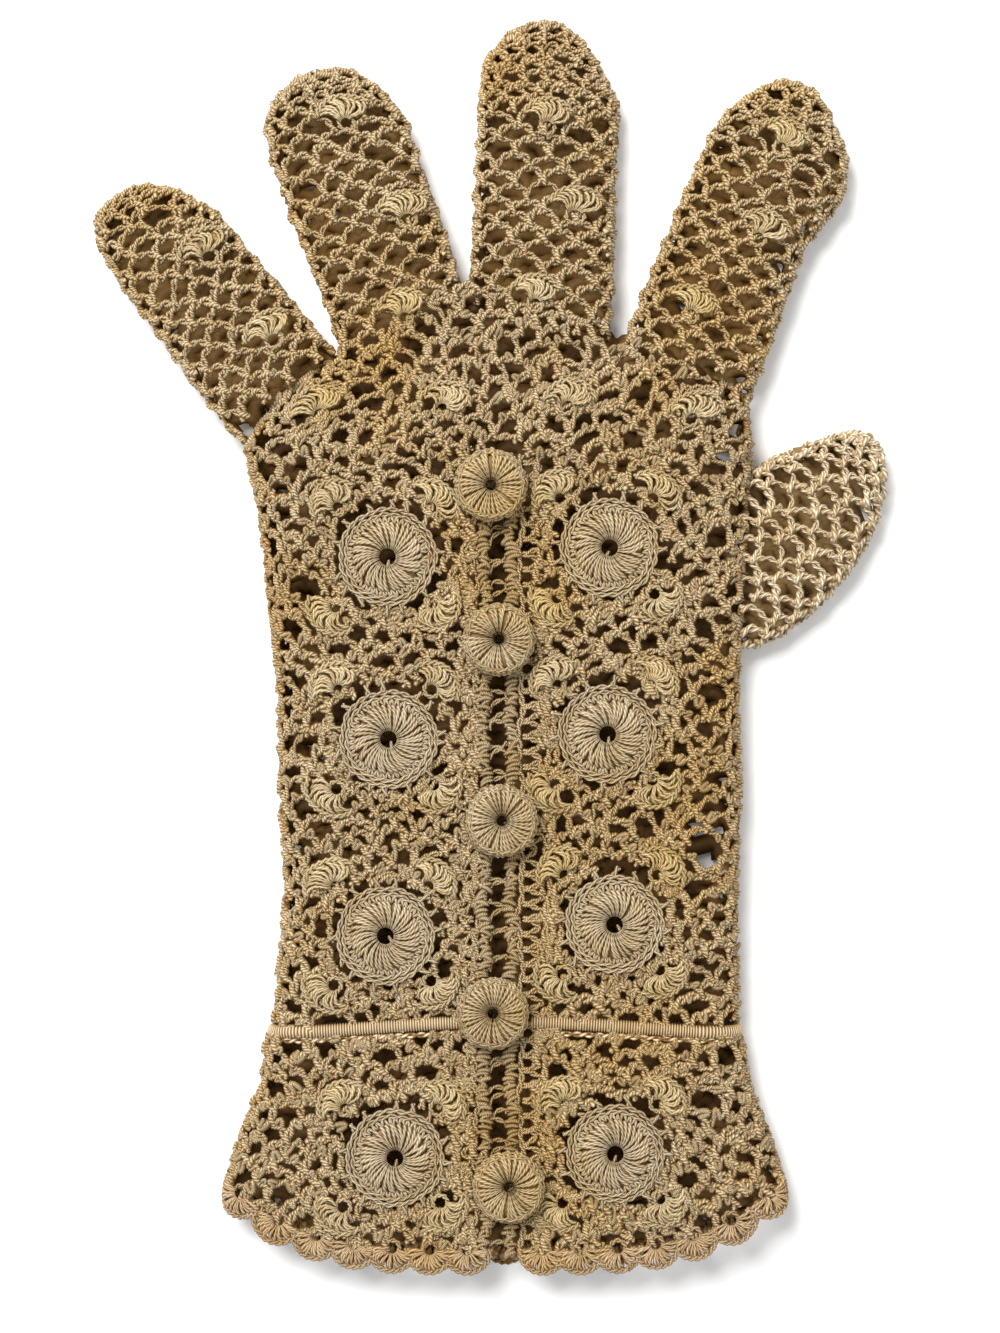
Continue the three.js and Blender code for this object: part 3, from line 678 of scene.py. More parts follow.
SEE_THROUGH = mm * np.array(
    [[47.2, 54.8, 2.0], [44.4, 50.2, 1.7], [39.6, -28.8, 1.5], [41.7, -32.7, 1.4]]
)
see_along = SEE_THROUGH[:, 1] - WRIST_Y
see_over = over_of(hand, see_along, SEE_THROUGH[:, 0])
see_spots = np.stack([see_along, see_over, SEE_THROUGH[:, 2]], -1)


PARTED_REACH = 2.4


def parted(tracks, spots, more=0.0):
    """Strands drawn aside at the few places where the table shows through both layers: within
    the parted reach, in radii of a spot, each point moves straight away from it, to a radius at
    least. A strand that still spans the spot is left out."""
    out = tracks.copy()
    for along, over, radius in spots:
        radius = radius + more
        away = out - np.array([along, over])
        distance = np.linalg.norm(away, axis=-1) + 1e-9
        outward = radius + distance * (PARTED_REACH - 1) / PARTED_REACH
        goal = np.where(distance < PARTED_REACH * radius, outward, distance)
        out = np.array([along, over]) + away * (goal / distance)[..., None]
        middles = (out[:, 1:] + out[:, :-1]) / 2 - np.array([along, over])
        out = out[np.linalg.norm(middles, axis=-1).min(1) > 0.6 * radius]
    return out


NET_JITTER = 0.75 * mm
NET_WARP = 1.2 * mm
HAND_RINGS = 14
PALM_RINGS = 7
PALM_JITTER = 0.3 * mm
PALM_PITCH = 5.0 * mm
PALM_ROW = 2.4 * mm
PALM_RADIUS = 0.92 * mm
PICOT = 0.76 * mm


def below_roots(places):
    """Whether cloth places of the hand lie below the line that joins the forks."""
    plan_x = places[:, 1] + rows_at(hand, places[:, 0])[0]
    return places[:, 0] < root_line(plan_x) + 1.0 * mm


net_top = 1.09 * HAND_LENGTH
hand_rows = net_rows(hand, 1.6 * mm, net_top, HAND_PITCH, HAND_ROW, NET_JITTER, warp=NET_WARP)
hand_rows, hand_sunk = clear_of_trim(hand_rows, round_spots + fan_spots, button_top)
arches = open_arches(hand_rows, hand_sunk)
tracks = parted(kept_tracks(arches, below_roots(arches[1]), HAND_RINGS), see_spots)
left = tracks[:, HAND_RINGS // 2, 1] < 0


FOLD_FLATNESS = 0.4
INNER_SHADE = 0.1


def inner_shade(v):
    """The palm's v: 0.5 along the outer side, nought along the edges, and 0.1 along the inner
    side, which shows through the holes of the upper layer."""
    off = np.abs(v - 0.5)
    return np.where(off < 0.25, 0.5 - 2 * off, (off - 0.25) * 4 * INNER_SHADE)


def net_part(tube, tracks, radius=CHAIN_RADIUS, palm=False):
    """One layer's arches as two-ply chains. The palm's are single, flatter and wider, as they
    lie pressed, and come back to plied chains within a few millimetres of the side folds."""
    rings = tracks.shape[1]
    scale = 1 + chance.normal(0, 0.13, (len(tracks), 1))
    lift = np.broadcast_to(arch_lift(rings), tracks.shape[:2])
    radii = arch_radius(rings, radius) * scale
    if not palm:
        return chains(tube, tracks, lift, radii, plied=True)
    crown = tracks[:, rings // 2]
    to_fold = half_round(tube, crown[:, 0], True) - np.abs(crown[:, 1])
    flat = np.clip((to_fold - 1.5 * mm) / (5 * mm), 0, 1)
    lift = lift * 0.4 - 0.35 * mm * flat[:, None]
    fold, level = flat < FOLD_FLATNESS, flat >= FOLD_FLATNESS
    folded = chains(tube, tracks[fold], lift[fold], radii[fold], palm=True, plied=True)
    flat = flat[level][:, None, None]
    shape = {"wide": 1.35 + 0.6 * flat, "tall": 0.85 - 0.25 * flat}
    pressed = chains(tube, tracks[level], lift[level], radii[level], palm=True, **shape)
    pressed["quad_uv"][..., 1] = inner_shade(pressed["quad_uv"][..., 1])
    pressed["cap_uv"][..., 1] = INNER_SHADE
    return joined([pressed, folded])


def picots(tube, tracks, size, share):
    """Short hairpins of chain that stand off the arches at a third and at two thirds of each,
    on either side: half an ellipse, longer than it is wide, whose tip lifts off the net."""
    third = tracks.shape[1] // 3
    at = np.concatenate([tracks[:, third], tracks[:, -1 - third]])
    way = np.concatenate([tracks[:, third + 1], tracks[:, -third]]) - at
    keep = chance.random(len(at)) < share
    at, way = at[keep], way[keep]
    side = np.where(chance.random((len(at), 1)) < 0.5, -1.0, 1.0)
    angle = np.arctan2(way[:, 1:], way[:, :1]) + side * np.pi / 2 + chance.normal(0, 0.5, (len(at), 1))
    scale = size * chance.uniform(0.75, 1.3, (len(at), 1))
    turn = np.linspace(0, np.pi, 7)[None]
    out = scale * (2.0 * np.sin(turn) - 0.4)
    aside = scale * 0.58 * np.cos(turn)
    track = np.stack(
        [
            at[:, :1] + out * np.cos(angle) - aside * np.sin(angle),
            at[:, 1:] + out * np.sin(angle) + aside * np.cos(angle),
        ],
        -1,
    )
    lift = 0.2 * mm + chance.uniform(0.1, 0.9, (len(at), 1)) * mm * np.sin(turn)
    return chains(tube, track, lift, 0.54 * scale, stitch=1.3 * mm)


for name, half, nodes in (("hand_net_left", left, ["hand"]), ("hand_net_right", ~left, [])):
    half_parts = [net_part(hand, tracks[half]), picots(hand, tracks[half], PICOT, 0.92)]
    piece(name, half_parts, net_cotton, "net_thread", *nodes)

palm_rows = net_rows(hand, 0.5 * mm, net_top, PALM_PITCH, PALM_ROW, PALM_JITTER, palm=True)
arches = arches_of(palm_rows)
palm_tracks = parted(kept_tracks(arches, below_roots(arches[1]), PALM_RINGS), see_spots, 1.0 * mm)
piece("hand_palm", [net_part(hand, palm_tracks, PALM_RADIUS, palm=True)], shaded_palm_cotton, "net_thread")

# The shell fans of the hand: about a dozen curved threads worked into one small ring, spreading
# out from it over a soft padding, with a rim of plied chain. Four stand round each medallion
# and one at the root of each finger.
FAN_STITCH_ANGLE = np.radians(12.5)
FAN_SET_BACK = 0.42
PAD_SHADE = 0.28
fan_cotton = thread_material(
    "fan_cotton", (0.665, 0.57, 0.385), (0.19, 0.098, 0.016), (0.63, 0.49, 0.22), 0.7, ply=0.6
)


def polar(centre, turn, angle, reach):
    """Cloth places at an angle and reach from a fan's ring, turned with the fan."""
    way = turn[:, None] + angle
    return np.stack([centre[:, :1] + reach * np.cos(way), centre[:, 1:2] + reach * np.sin(way)], -1)


def fans(tube, places, reach=FAN_REACH, span=np.radians(140), palm=False, height=0.0, curl=0.3):
    """Fans as strands: fat padding strands below, one round thread for each stitch above,
    thickening outward and curling to one side by half a sine, a chain rim, and a chain round
    the ring."""
    centre, turn = places[:, :2].copy(), places[:, 2]
    centre[:, 0] -= FAN_SET_BACK * reach * np.cos(turn)
    centre[:, 1] -= FAN_SET_BACK * reach * np.sin(turn)
    count = len(places)
    t = np.linspace(0, 1, 6)
    parts = []

    def spokes(angles, start, stop, lift, radius, sides):
        angle = np.tile(angles, count)
        at = np.repeat(centre, len(angles), 0)
        way = np.repeat(turn, len(angles))
        wobble = chance.normal(0, 0.03, (len(angle), 1))
        far = chance.normal(0, 0.25 * mm, (len(angle), 1))
        radius = radius * mm * chance.uniform(0.75, 1.15, (len(angle), 1))
        run = start + (stop - start + far) * t[None]
        bend = chance.normal(curl, 0.07, (len(angle), 1)) * np.sin(np.pi * t)[None]
        track = polar(at, way, angle[:, None] + bend + wobble, run)
        shape = np.broadcast_to(lift * mm, track.shape[:2])
        parts.append(chains(tube, track, shape + height, radius, sides, palm, tall=1.1, wide=1.0))

    arc = np.sin(np.pi * np.clip(0.12 + 0.8 * t, 0, 1)) ** 0.7
    pads = np.linspace(-0.39 * span, 0.39 * span, max(5, int(round(0.8 * span / 0.45))))
    pad_radius = 0.2 + 0.85 * np.sin(0.82 * np.pi * t)
    spokes(pads, 1.6 * mm, 0.93 * reach, 0.25 * arc - 0.2, pad_radius, 4)
    parts[0]["quad_uv"][..., 1] = parts[0]["cap_uv"][..., 1] = PAD_SHADE
    threads = np.linspace(-span / 2, span / 2, int(round(span / FAN_STITCH_ANGLE)) + 1)
    spokes(threads, 1.15 * mm, 0.95 * reach, 0.55 + 1.0 * arc, 0.23 + 0.25 * t, 5)
    rim_angle = np.linspace(-span / 2 - 0.1, span / 2 + 0.1, 25)[None]
    ring_angle = np.linspace(span / 2 - 0.1, 2 * np.pi - span / 2 + 0.1, 12)[None]
    for angle, out, lift, radius, stitch in (
        (rim_angle, reach + 0.3 * mm, 0.95 * mm, 0.62 * mm, 1.4 * mm),
        (ring_angle, 1.55 * mm, 0.55 * mm, 0.52 * mm, 1.2 * mm),
    ):
        track = polar(centre, turn, angle, np.full(angle.shape, out))
        parts.append(chains(tube, track, lift + height, radius, palm=palm, stitch=stitch, plied=True))
    return parts


piece("hand_fans", fans(hand, np.concatenate([hand_fans, root_fans])), fan_cotton, "net_thread")

# The fingers: each is worked round in even rows of chain arches from its root to its tip,
# where the rounds draw together, with a few fans set into the upper side.
FINGER_LENGTH = 60 * mm
FINGER_WIDTH = 29.6 * mm
FINGER_PITCH = 5.9 * mm
FINGER_ROW = 3.0 * mm
FINGERS = {
    "finger_little": (-0.467, 0.928, -37.4, 0.897),
    "finger_ring": (-0.217, 1.04, -16.4, 0.887),
    "finger_middle": (0.082, 1.042, 1.2, 1.007),
    "finger_index": (0.397, 0.962, 20.5, 1.053),
}
FINGER_OUTLINES = {
    "finger_little": [
        [-0.4, -0.44, 0.42, 0.92, 0], [0.05, -0.495, 0.432, 1, 0], [0.5, -0.48, 0.4, 0.97, 0],
        [0.72, -0.478, 0.375, 0.94, 0], [0.86, -0.44, 0.265, 0.84, 0.04],
        [0.95, -0.385, 0.13, 0.66, 0.12], [1, -0.3, 0.01, 0.4, 0.26],
    ],
    "finger_ring": [
        [-0.4, -0.46, 0.44, 0.92, 0], [0.1, -0.505, 0.45, 1, 0], [0.5, -0.57, 0.42, 0.97, 0],
        [0.72, -0.592, 0.412, 0.94, 0], [0.86, -0.565, 0.3, 0.84, 0.04],
        [0.95, -0.43, 0.17, 0.66, 0.12], [1, -0.25, 0.03, 0.4, 0.26],
    ],
    "finger_middle": [
        [-0.35, -0.48, 0.46, 0.92, 0], [0.1, -0.515, 0.485, 1, 0], [0.5, -0.497, 0.49, 0.97, 0],
        [0.72, -0.48, 0.495, 0.94, 0], [0.86, -0.455, 0.35, 0.84, 0.04],
        [0.945, -0.31, 0.22, 0.66, 0.12], [1, -0.11, 0.07, 0.4, 0.26],
    ],
    "finger_index": [
        [-0.35, -0.46, 0.46, 0.92, 0], [0.1, -0.505, 0.475, 1, 0], [0.5, -0.473, 0.46, 0.97, 0],
        [0.7, -0.455, 0.595, 0.94, 0], [0.82, -0.405, 0.53, 0.87, 0.03],
        [0.94, -0.23, 0.29, 0.66, 0.12], [1, -0.09, 0.13, 0.4, 0.26],
    ],
}
FINGER_FANS = {
    "finger_little": [[0.22, 0.14], [0.62, 0.13]],
    "finger_ring": [[0.02, 0], [0.38, 0.2], [0.8, -0.02]],
    "finger_middle": [[0.06, -0.06], [0.36, 0.2], [0.66, 0]],
    "finger_index": [[0.19, -0.13], [0.5, 0.12], [0.8, 0.05]],
}
TIGHT_TIP = 7 * mm
TIGHT_TIPS = {"finger_middle": 19 * mm, "finger_index": 10 * mm}
FRONT_RINGS = 16


def finger_limb(outline, place, height):
    """A finger's flattened tube from its outline, in shares of its length, width and height."""
    x, y, lean, length = place
    at, left, right, tall, lift = np.array(outline, float).T
    return limb(
        at * length * FINGER_LENGTH,
        left * FINGER_WIDTH,
        right * FINGER_WIDTH,
        lift * height,
        (lift + tall) * height,
        x * PALM_WIDTH,
        WRIST_Y + y * HAND_LENGTH,
        lean,
    )


def beyond_root(tube, places, i):
    """Whether cloth places lie on the finger's side of its root line and between its forks."""
    plan = cloth_point(tube, places[:, 0], np.clip(places[:, 1], -0.02, 0.02), False)[:, :2]
    corner = FORKS * np.array([PALM_WIDTH, HAND_LENGTH]) + np.array([0, WRIST_Y])
    near, far = corner[i], corner[i + 1]
    edge = far - near
    out = (plan - near) @ np.array([-edge[1], edge[0]]) / np.linalg.norm(edge)
    ways = np.stack([np.sin(FORK_WAYS), np.cos(FORK_WAYS)], -1)

    def right_of(point, way):
        return (plan - point) @ np.array([way[1], -way[0]])

    slack = 1.2 * mm
    beside = (right_of(near, ways[i]) > -slack) & (right_of(far, ways[i + 1]) < slack)
    return (out > -0.8 * mm) & beside


def limb_net(tube, start, stop, keep, spots, node, tight=TIGHT_TIP, cotton=net_cotton):
    """Both layers of one limb, from its root to the rows that close its tip."""
    parts = []
    for palm, pitch, row, radius, rings in (
        (False, FINGER_PITCH, FINGER_ROW, 0.8 * mm, FRONT_RINGS),
        (True, PALM_PITCH, PALM_ROW, PALM_RADIUS, PALM_RINGS),
    ):
        around = [] if palm else spots
        rows = net_rows(tube, start, stop, pitch, row, 0.42 * mm, palm, tight=tight)
        a, crown, b = arches_of([pushed(nodes, around)[0] for nodes in rows])
        middles = (a + b + crown) / 3
        kept = keep(middles)
        for along, over, radius_out in around:
            kept &= np.linalg.norm(middles - np.array([along, over]), axis=1) > 0.8 * radius_out
        tracks = arch_tracks(a[kept], crown[kept], b[kept], rings)
        parts.append(net_part(tube, tracks, radius, palm))
        if not palm:
            parts.append(picots(tube, tracks, 0.55 * mm, 0.16))
    reach = float(half_round(tube, stop)) * 0.95
    for forward, lift, below in (
        (-0.2, 0.0, False), (-0.2, -1.0, False), (0.9, -1.25, False), (-0.2, 0.2, True), (-0.2, -0.9, True)
    ):
        line = np.linspace(-reach, reach, 16)
        track = np.stack([np.full(16, stop + forward * mm), line], -1)[None]
        parts.append(chains(tube, track, lift * mm, CHAIN_RADIUS, 5, below, plied=True))
    piece(node + "_net", parts, cotton, "net_thread", node)


for i, (finger, place) in enumerate(FINGERS.items()):
    tube = finger_limb(FINGER_OUTLINES[finger], place, FINGER_HEIGHT)
    length = place[3] * FINGER_LENGTH
    fan_at = np.array(
        [[at * length, over_of(tube, at * length, x * FINGER_WIDTH), 0.0] for at, x in FINGER_FANS[finger]]
    )
    spots = [(a - 0.3 * mm, o, 3.4 * mm) for a, o, _ in fan_at]
    limb_net(
        tube,
        -0.32 * length,
        length - 1.0 * mm,
        lambda places, tube=tube, i=i: beyond_root(tube, places, i),
        spots,
        finger,
        TIGHT_TIPS.get(finger, TIGHT_TIP),
    )
    piece(finger + "_fans", fans(tube, fan_at, 5.5 * mm, np.radians(108)), fan_cotton, "net_thread")

# The thumb: the same round net on a shorter, wider tube, which comes out from under the side
# fold of the hand.
THUMB_HEIGHT = 8.4 * mm
THUMB_PLACE = (0.521, 0.687, 45.7, 0.597)
THUMB_OUTLINE = [
    [-0.5, -0.47, 0.37, 0.96, 0], [-0.2, -0.52, 0.555, 1, 0], [0.1, -0.5, 0.6, 1, 0],
    [0.4, -0.42, 0.57, 0.98, 0], [0.64, -0.32, 0.485, 0.94, 0], [0.83, -0.215, 0.345, 0.84, 0.05],
    [0.94, -0.14, 0.21, 0.66, 0.14], [1, -0.03, 0.09, 0.4, 0.28],
]
thumb = finger_limb(THUMB_OUTLINE, THUMB_PLACE, THUMB_HEIGHT)
thumb_length = THUMB_PLACE[3] * FINGER_LENGTH
thumb_cotton = thread_material(
    "thumb_cotton", (0.79, 0.705, 0.55), (0.22, 0.12, 0.03), (0.78, 0.64, 0.4), 0.5
)


def outside_hand(places):
    """Whether cloth places of the thumb lie beyond the hand's side fold."""
    plan = cloth_point(thumb, places[:, 0], np.clip(places[:, 1], -0.03, 0.03), False)[:, :2]
    edge = np.interp(plan[:, 1] - WRIST_Y, above, HAND_OUTLINE[:, 2] * PALM_WIDTH)
    return plan[:, 0] > edge - 0.6 * mm


limb_net(
    thumb, -0.5 * thumb_length, thumb_length - 1.0 * mm, outside_hand, [], "thumb", cotton=thumb_cotton
)

# The cuff: the net goes on below the wrist cord and widens to a bowed hem, with one medallion
# and its four fans on each half.
CUFF_LENGTH = 44 * mm
CUFF_OUTLINE = np.array(
    [[1.35, 0.65], [1.2, 0.64], [0.68, 0.6], [0.45, 0.566], [0.25, 0.528], [-0.08, 0.505]]
)
HEM_BOW = 0.34 * CUFF_LENGTH
HEM_REACH = 0.602 * PALM_WIDTH
below = -CUFF_OUTLINE[:, 0] * CUFF_LENGTH
cuff = limb(
    below,
    -CUFF_OUTLINE[:, 1] * PALM_WIDTH,
    CUFF_OUTLINE[:, 1] * PALM_WIDTH,
    0 * below,
    thickness(below),
    y=WRIST_Y,
)


def hem_line(x):
    """Distance along, below the wrist, of the hem line at the plan place x: it bows up by the
    fourth power of the distance from the middle."""
    return -CUFF_LENGTH + HEM_BOW * np.minimum(np.abs(x) / HEM_REACH, 1.08) ** 4


cuff_medallions = medallions[medallions[:, 1] < WRIST_Y]
cuff_fans = fan_places(cuff, cuff_medallions)
cuff_spots = [(y - WRIST_Y, x, MEDALLION_RADIUS) for x, y in cuff_medallions]
cuff_spots += [(a, o, FAN_CLEAR) for a, o, _ in cuff_fans]
cuff_end = -CUFF_LENGTH - 2.0 * mm
cuff_rows = net_rows(cuff, cuff_end, -0.8 * mm, HAND_PITCH, HAND_ROW, NET_JITTER, warp=NET_WARP)
cuff_rows, cuff_sunk = clear_of_trim(cuff_rows, cuff_spots, button_top)
arches = open_arches(cuff_rows, cuff_sunk)


def above_hem(places, palm=False):
    """Whether cloth places lie above the hem line."""
    plan = cloth_point(cuff, places[:, 0], places[:, 1], palm)
    return places[:, 0] > hem_line(plan[:, 0]) - (1.6 if palm else 3.2) * mm


cuff_tracks = kept_tracks(arches, above_hem(arches[0]) & above_hem(arches[2]), FRONT_RINGS)
cuff_parts = [net_part(cuff, cuff_tracks, CHAIN_RADIUS * 1.05), picots(cuff, cuff_tracks, PICOT * 1.1, 1.0)]
piece("cuff_net", cuff_parts, net_cotton, "net_thread", "cuff")
piece("cuff_fans", fans(cuff, cuff_fans), fan_cotton, "net_thread")
palm_rows = net_rows(cuff, cuff_end, -0.5 * mm, PALM_PITCH, PALM_ROW, PALM_JITTER, palm=True)
arches = arches_of(palm_rows)
inside = above_hem(arches[0], True) & above_hem(arches[2], True)
palm_tracks = kept_tracks(arches, inside, PALM_RINGS)
piece("cuff_palm", [net_part(cuff, palm_tracks, PALM_RADIUS, palm=True)], shaded_palm_cotton, "net_thread")

# The hem: a row of small round fans side by side along the edge of both layers, each worked
# into one mesh of the cuff.
SCALLOPS = 15
HEM_FAN_REACH = 4.4 * mm
hem_cotton = thread_material(
    "hem_cotton", (0.6, 0.47, 0.31), (0.18, 0.086, 0.014), (0.58, 0.4, 0.16), 1.0, ply=0.6
)
across = (np.arange(SCALLOPS) + 0.5) * 2 / SCALLOPS - 1
hem_x = across * HEM_REACH
hem_turn = np.arctan(4 * HEM_BOW * across**3 / HEM_REACH)


def hem_fans(palm):
    """Fans that hang from the hem line, each square to it."""
    along = hem_line(hem_x)
    over = over_of(cuff, along, np.clip(hem_x, -0.99 * HEM_REACH, 0.99 * HEM_REACH))
    places = np.stack([along, over, np.pi - hem_turn], -1)
    keep = (np.abs(hem_x) > 3 * mm) | palm
    places[:, 0] += FAN_SET_BACK * HEM_FAN_REACH * np.cos(places[:, 2])
    places[:, 1] += FAN_SET_BACK * HEM_FAN_REACH * np.sin(places[:, 2])
    return fans(cuff, places[keep], HEM_FAN_REACH, np.radians(172), palm, -0.25 * mm, curl=0.05)


piece("hem_fans", hem_fans(False) + hem_fans(True), hem_cotton, "net_thread", "cuff_hem")

# The wrist cord: a padding cord wrapped closely with thread, round the wrist from one edge of
# the centre back opening to the other, with a line of chain just below it.
WRAP = 0.55 * mm
BAND_GAP = 5.6 * mm
cord_cotton = thread_material(
    "cord_cotton", (0.77, 0.645, 0.455), (0.13, 0.06, 0.009), (0.66, 0.5, 0.25), 0.4, 0.0, 1.0, 1.0
)
half_wrist = 0.505 * PALM_WIDTH
wrist = limb([-9, 9], [-half_wrist] * 2, [half_wrist] * 2, [0, 0], [WRIST_HEIGHT] * 2, y=WRIST_Y)
round_wrist = float(half_round(wrist, 0.0)) + float(half_round(wrist, 0.0, True))


def slant(run):
    """The cord stands higher at the centre back and comes down evenly over its first 48 mm."""
    return 2.8 * mm - 2.4 * mm * np.clip(run / (48 * mm), 0, 1)


cord_parts = []
for side in (-1, 1):
    run = np.arange(BAND_GAP, round_wrist + 0.6 * mm, WRAP / 3)
    turns = run / WRAP
    ridge = 0.76 + 0.24 * np.abs(np.cos(np.pi * turns))
    sway = 0.2 * mm * np.sin(run / (9 * mm))
    point, normal = on_cloth(wrist, (sway + slant(run))[None], (side * run)[None], 0.25 * mm)
    cord_parts.append(sweep(point, normal, 1.25 * mm * ridge[None], turns[None], 8, wide=1.15))
    run = np.linspace(BAND_GAP, round_wrist, 360)
    track = np.stack([slant(run) - 1.95 * mm, side * run], -1)[None]
    cord_parts.append(chains(wrist, track, 0.2 * mm, 0.6 * mm, plied=True))
piece("wrist_cord_wrapped", cord_parts, cord_cotton, "cord_thread", "wrist_cord")

# The bands at the centre back: two columns of chain up the edge of each half, with small curls
# of thread across them, a rim of loops beside them, and lacing loops across the slit between.
band_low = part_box("band_left")[0].y - WRIST_Y
CURL_PITCH = 0.9 * mm
RIM_PITCH = 3.1 * mm
BAND_COLUMNS = {"band_left": (-4.3, -6.0), "band_right": (1.3, 3.1)}
centre_back = limb(
    [-0.08, 0.02, 0.2],
    [-0.5 * PALM_WIDTH] * 3,
    [0.5 * PALM_WIDTH] * 3,
    [0, 0, 0],
    thickness(np.array([-0.08, 0.02, 0.12])),
    y=WRIST_Y,
)


def band_wave(run, x):
    """How far a column of the bands strays sideways: two sines of the distance along it."""
    return 0.4 * mm * np.sin(run / (2.9 * mm) + x) + 0.28 * mm * np.sin(run / (1.2 * mm) + x)


def curls(at, over):
    """Short stitches laid across a column: each bows along it by a parabola, leans its own way,
    and goes over the column from one side to the other."""
    t = np.linspace(-1, 1, 7)[None]
    lean = chance.normal(0.15, 0.4, (len(at), 1))
    across = 1.25 * mm * chance.uniform(0.8, 1.15, (len(at), 1)) * t
    bow = 0.4 * mm * (1 - t**2)
    track = np.stack(
        [
            at[:, None] + bow * np.cos(lean) + across * np.sin(lean),
            over[:, None] + across * np.cos(lean) - bow * np.sin(lean),
        ],
        -1,
    )
    return track, (1.15 - 0.95 * t**4) * mm + 0 * lean


for band, (column, beside) in BAND_COLUMNS.items():
    band_parts = []
    out = np.sign(column)
    for x, radius in ((column, 0.86 * mm), (beside, 0.66 * mm)):
        run = np.linspace(band_low + 1.5 * mm, button_top - 1 * mm, 330)
        track = np.stack([run, x * mm + band_wave(run, x)], -1)[None]
        lift = (0.3 * mm + 0.2 * mm * np.sin(run / (2.3 * mm)))[None]
        band_parts.append(chains(centre_back, track, lift, radius, plied=True))
    at = np.arange(band_low + 1.5 * mm, button_top - 1 * mm, CURL_PITCH)
    at = at + chance.normal(0, 0.14 * mm, len(at))
    track, lift = curls(at, column * mm + band_wave(at, column) + chance.normal(0, 0.2 * mm, len(at)))
    size = 0.4 * mm * chance.uniform(0.8, 1.2, (len(at), 1))
    band_parts.append(chains(centre_back, track, lift, size, stitch=1.3 * mm))
    if band == "band_left":
        at = np.arange(band_low + 3 * mm, button_top - 4 * mm, 2.7 * mm)
        at = at + chance.normal(0, 0.5 * mm, len(at))
        climb = np.where(np.arange(len(at)) % 2, 2.4 * mm, -0.6 * mm) + chance.normal(0, 0.6 * mm, len(at))
        a = np.stack([at, np.full(len(at), -3.3 * mm)], -1)
        b = np.stack([at + climb, np.full(len(at), 0.5 * mm)], -1)
        crown = (a + b) / 2 + np.stack([chance.normal(0.6 * mm, 0.6 * mm, len(at)), 0 * at], -1)
        lift = (0.1 * mm - 0.6 * mm * np.sin(np.linspace(0, np.pi, 9)))[None]
        lacing = chains(centre_back, arch_tracks(a, crown, b, 9, 2.0), lift, 0.52 * mm, plied=True)
        band_parts.append(lacing)
    rim = np.arange(band_low + 2 * mm, button_top - 2 * mm, RIM_PITCH)
    a = np.stack([rim, np.full(len(rim), (beside + out * 0.7) * mm)], -1)
    b = a + np.array([RIM_PITCH, 0])
    crown = (a + b) / 2 + np.array([0, out * max(1.6, 6.6 - abs(beside)) * mm])
    crown += chance.normal(0, 0.35 * mm, crown.shape)
    t = np.linspace(0, 1, 13)[None, :, None]
    track = a[:, None] * (1 - t) + b[:, None] * t + (crown - (a + b) / 2)[:, None] * np.sin(np.pi * t)
    band_parts.append(chains(centre_back, track, 0.3 * mm, 0.62 * mm, plied=True))
    piece(band + "_chains", band_parts, net_cotton, "net_thread", band)

# The medallions: a padded ring worked over with radial threads round a small hole in which one
# thread's end shows, then a round of V stitches and two rounds of plied chain. Short posts join
# it to the net all round.
MEDALLION_HEIGHT = 1.7 * mm
POSTS = 14
RADIAL_THREADS = 40
SWIRL = 0.34
RING_PROFILE = [
    [2.3, -1.3], [2.2, 0.2], [2.8, 0.8], [4.2, 1.2], [5.8, 0.85], [6.9, 0.1], [8.6, 0.0],
    [9.7, -0.15], [9.7, -1.3],
]
medallion_cotton = thread_material(
    "medallion_cotton", (0.605, 0.525, 0.385), (0.18, 0.085, 0.01), (0.6, 0.48, 0.26), 0.5, ply=0.6
)
slope = (PALM_HEIGHT - WRIST_HEIGHT) / (KNUCKLES * HAND_LENGTH)


def lathe(profile, sides, centre, base):
    """A closed profile (radius, height) in millimetres, turned round an upright axis through the
    centre and sheared to the slope of the cloth."""
    profile = np.array(profile, float) * mm
    turn = np.arange(sides) * 2 * np.pi / sides
    r, z = profile[:, :1], profile[:, 1:]
    x, y = r * np.cos(turn), r * np.sin(turn)
    points = np.stack([centre[0] + x, centre[1] + y, base + z + slope * r * np.sin(turn)], -1)
    n = len(profile)
    i, j = np.meshgrid(np.arange(n), np.arange(sides), indexing="ij")
    ii, jj = (i + 1) % n, (j + 1) % sides
    quads = np.stack([i * sides + j, i * sides + jj, ii * sides + jj, ii * sides + j], -1)
    # Painted shade: the base's UV v of 0.24 sits low on the thread height and its fixed tint of 0.8 near
    # the dark end, so the whole base is coloured darker where it shows between the threads over it.
    uv = np.stack([j, 0.24 + 0 * j], -1).reshape(-1, 1, 2)
    return {
        "points": points.reshape(-1, 3),
        "quads": quads.reshape(-1, 4),
        "caps": np.zeros((0, 3), int),
        "quad_uv": np.repeat(uv, 4, 1),
        "cap_uv": np.zeros((0, 3, 2)),
        "tint": np.full(n * sides, 0.8),
    }


def turned_strands(centre, base, angle, reach, height, radius, sides=4, **shape):
    """Strands placed by angle, reach and height round an upright axis, on the cloth's slope."""
    x = centre[0] + reach * np.cos(angle)
    y = centre[1] + reach * np.sin(angle)
    z = base + height + slope * (y - centre[1])
    point = np.stack(np.broadcast_arrays(x, y, z), -1)
    normal = np.zeros_like(point)
    normal[..., 2] = 1
    outward = np.stack([np.cos(angle), np.sin(angle), 0 * angle], -1)
    normal = normal * 0.8 + np.broadcast_to(outward, point.shape) * 0.3
    return strands(point, normal, radius, run_of(point) / STITCH, sides, **shape)


